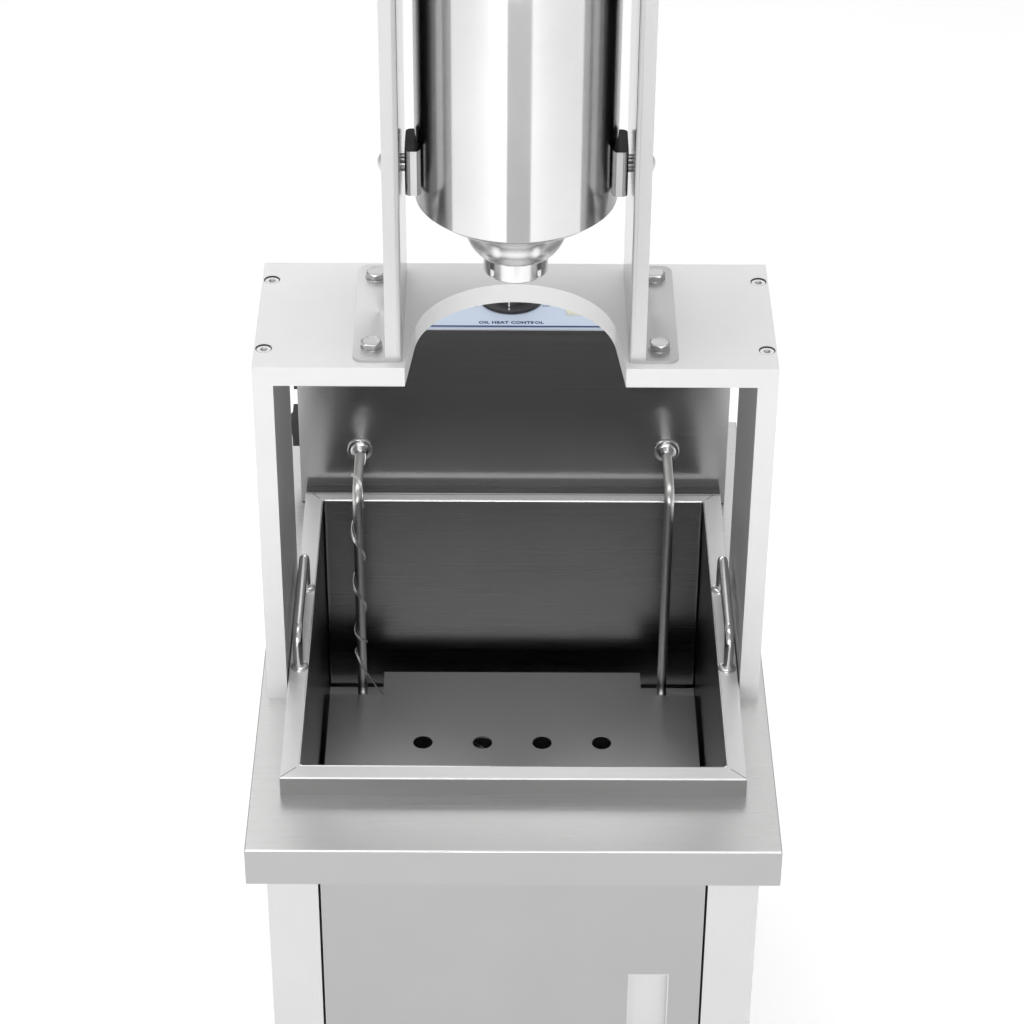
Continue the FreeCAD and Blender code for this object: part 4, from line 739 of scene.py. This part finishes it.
def make_dial_marks(made):
    """White pointer dashes on the dial's flange, knob wall and top, and ribs round its knob."""
    top = dial_high.z
    flange = top - 0.0145
    front = DIAL_Y - DIAL_RADIUS
    mark_x = DIAL_X - 0.0022
    half = 0.0007
    work = bmesh.new()
    for inset, long, lift in ((0.0020, 0.0024, 0.0001), (0.0062, 0.0018, 0.0006)):
        box_into(work, (mark_x - half, front + inset, flange - 0.002),
                 (mark_x + half, front + inset + long, flange + lift))
    wall = ((0.0079, 0.0004), (0.0092, 0.0090), (0.0102, 0.0090), (0.0090, 0.0004))
    left, right = [[work.verts.new((x, front + inset, flange + lift)) for inset, lift in wall]
                   for x in (mark_x - half, mark_x + half)]
    join_rings(work, [left, right], capped=True)
    box_into(work, (DIAL_X - 0.0006, front + 0.0135, top - 0.001),
             (DIAL_X + 0.0006, DIAL_Y - 0.006, top + 0.00005), 0.0001)
    white = grained("mark_white", (0.80, 0.80, 0.80), 0.5, spread=0.02)
    add_piece("dial_pointer", work, "dial", white, False)
    work = bmesh.new()
    count = 36
    for n in range(count):
        angle = 2 * math.pi * n / count
        x = DIAL_X + (DIAL_RADIUS - 0.0113) * math.cos(angle)
        y = DIAL_Y + (DIAL_RADIUS - 0.0113) * math.sin(angle)
        box_into(work, (x - 0.0009, y - 0.0006, top - 0.0125), (x + 0.0009, y + 0.0006, top - 0.0025), 0.0002,
                 (angle, (x, y, 0)))
    add_piece("dial_ribs", work, "dial", made["black_plastic"], False)


def make_head_screw(made):
    """A small pan-head screw on the head's left wall, between the switch and the inlet."""
    place = Vector((head_low.x, HEAD_Y + 0.055, WORKTOP_Z + 0.090))
    outline = ((0.0040, 0.0006), (0.0040, -0.0010), (0.0032, -0.0020), (0.0018, -0.0024))
    work = bmesh.new()
    join_rings(work, [ring(work, place, SIDEWAYS, radius, lift, 24) for radius, lift in outline], capped=True)
    add_piece("head_side_screw", work, "head", made["fastener_steel"])


# ------------------------------------------------------------------ studio

def softbox(name, place, aim, size, power):
    data = bpy.data.lights.new(name, "AREA")
    data.shape = "RECTANGLE"
    data.size, data.size_y = size
    data.energy = power
    light = bpy.data.objects.new(name, data)
    scene.collection.objects.link(light)
    light.location = place
    light.rotation_euler = (Vector(aim) - light.location).to_track_quat("-Z", "Y").to_euler()


def glow(material, strength):
    """White light from the material itself."""
    shader = material.node_tree.nodes["Principled BSDF"]
    shader.inputs["Emission Color"].default_value = (1.0, 1.0, 1.0, 1.0)
    shader.inputs["Emission Strength"].default_value = strength


def make_floor():
    work = bmesh.new()
    bmesh.ops.create_grid(work, x_segments=1, y_segments=1, size=12.0)
    paper = grained("floor_paint", (0.90, 0.90, 0.90), 0.8, 60.0, 0.02, spread=0.005)
    glow(paper, 0.42)
    new_object("floor", work, paper)


def make_flag():
    """A grey studio flag close to the cylinder: it shows only as the middle stripe of its reflection."""
    work = bmesh.new()
    box_into(work, (-0.072, -0.46, 0.86), (0.105, -0.455, 1.22))
    cloth = grained("flag_cloth", (0.88, 0.88, 0.88), 0.9, 200.0, 0.02, spread=0.01)
    glow(cloth, 0.14)
    flag = new_object("flag", work, cloth)
    flag.visible_camera = False
    flag.visible_diffuse = False
    flag.visible_shadow = False


def make_backdrop():
    """A pale dome far round the floor, seen only by the camera, so a low view has no horizon."""
    radius = 11.8
    work = bmesh.new()
    rings = []
    for n in range(16):
        rise = math.radians(90 * n / 16)
        lift = radius * math.sin(rise) - 0.01
        rings.append(ring(work, Vector((0.0, 0.0, 0.0)), UPRIGHT, radius * math.cos(rise), lift, 64))
    join_rings(work, rings)
    work.faces.new(rings[-1])
    paper = grained("backdrop_paper", (0.02, 0.02, 0.02), 0.9, 40.0, 0.02, spread=0.002)
    glow(paper, 0.76)
    dome = new_object("backdrop", work, paper)
    dome.visible_diffuse = False
    dome.visible_glossy = False
    dome.visible_transmission = False
    dome.visible_shadow = False


def make_studio():
    world = bpy.data.worlds.new("studio")
    world.use_nodes = True
    background = world.node_tree.nodes["Background"]
    background.inputs["Color"].default_value = (1.0, 1.0, 1.0, 1.0)
    background.inputs["Strength"].default_value = 0.36
    scene.world = world
    make_floor()
    softbox("front_box", (-0.4, -3.6, 1.25), (0.0, 0.0, 1.0), (2.0, 1.0), 40.0)
    softbox("top_box", (-0.2, 0.1, 4.0), (0.0, 0.0, 0.8), (4.0, 4.0), 78.0)
    softbox("rear_box", (0.0, 3.2, 3.0), (0.0, 0.0, 0.8), (3.0, 1.6), 8.0)
    make_flag()
    make_backdrop()


make_camera()
made = dress_nodes()
dress_tank()
dress_bridge()
dress_cabinet()
dress_fittings()
make_funnel()
make_bolts(made)
make_cap_rings()
make_element_fittings()
make_threads(made)
make_capillaries()
make_rim_seams()
make_rim_fold()
make_handle_welds(made)
make_well_seams()
make_label_print()
make_dial_marks(made)
make_head_screw(made)
make_studio()
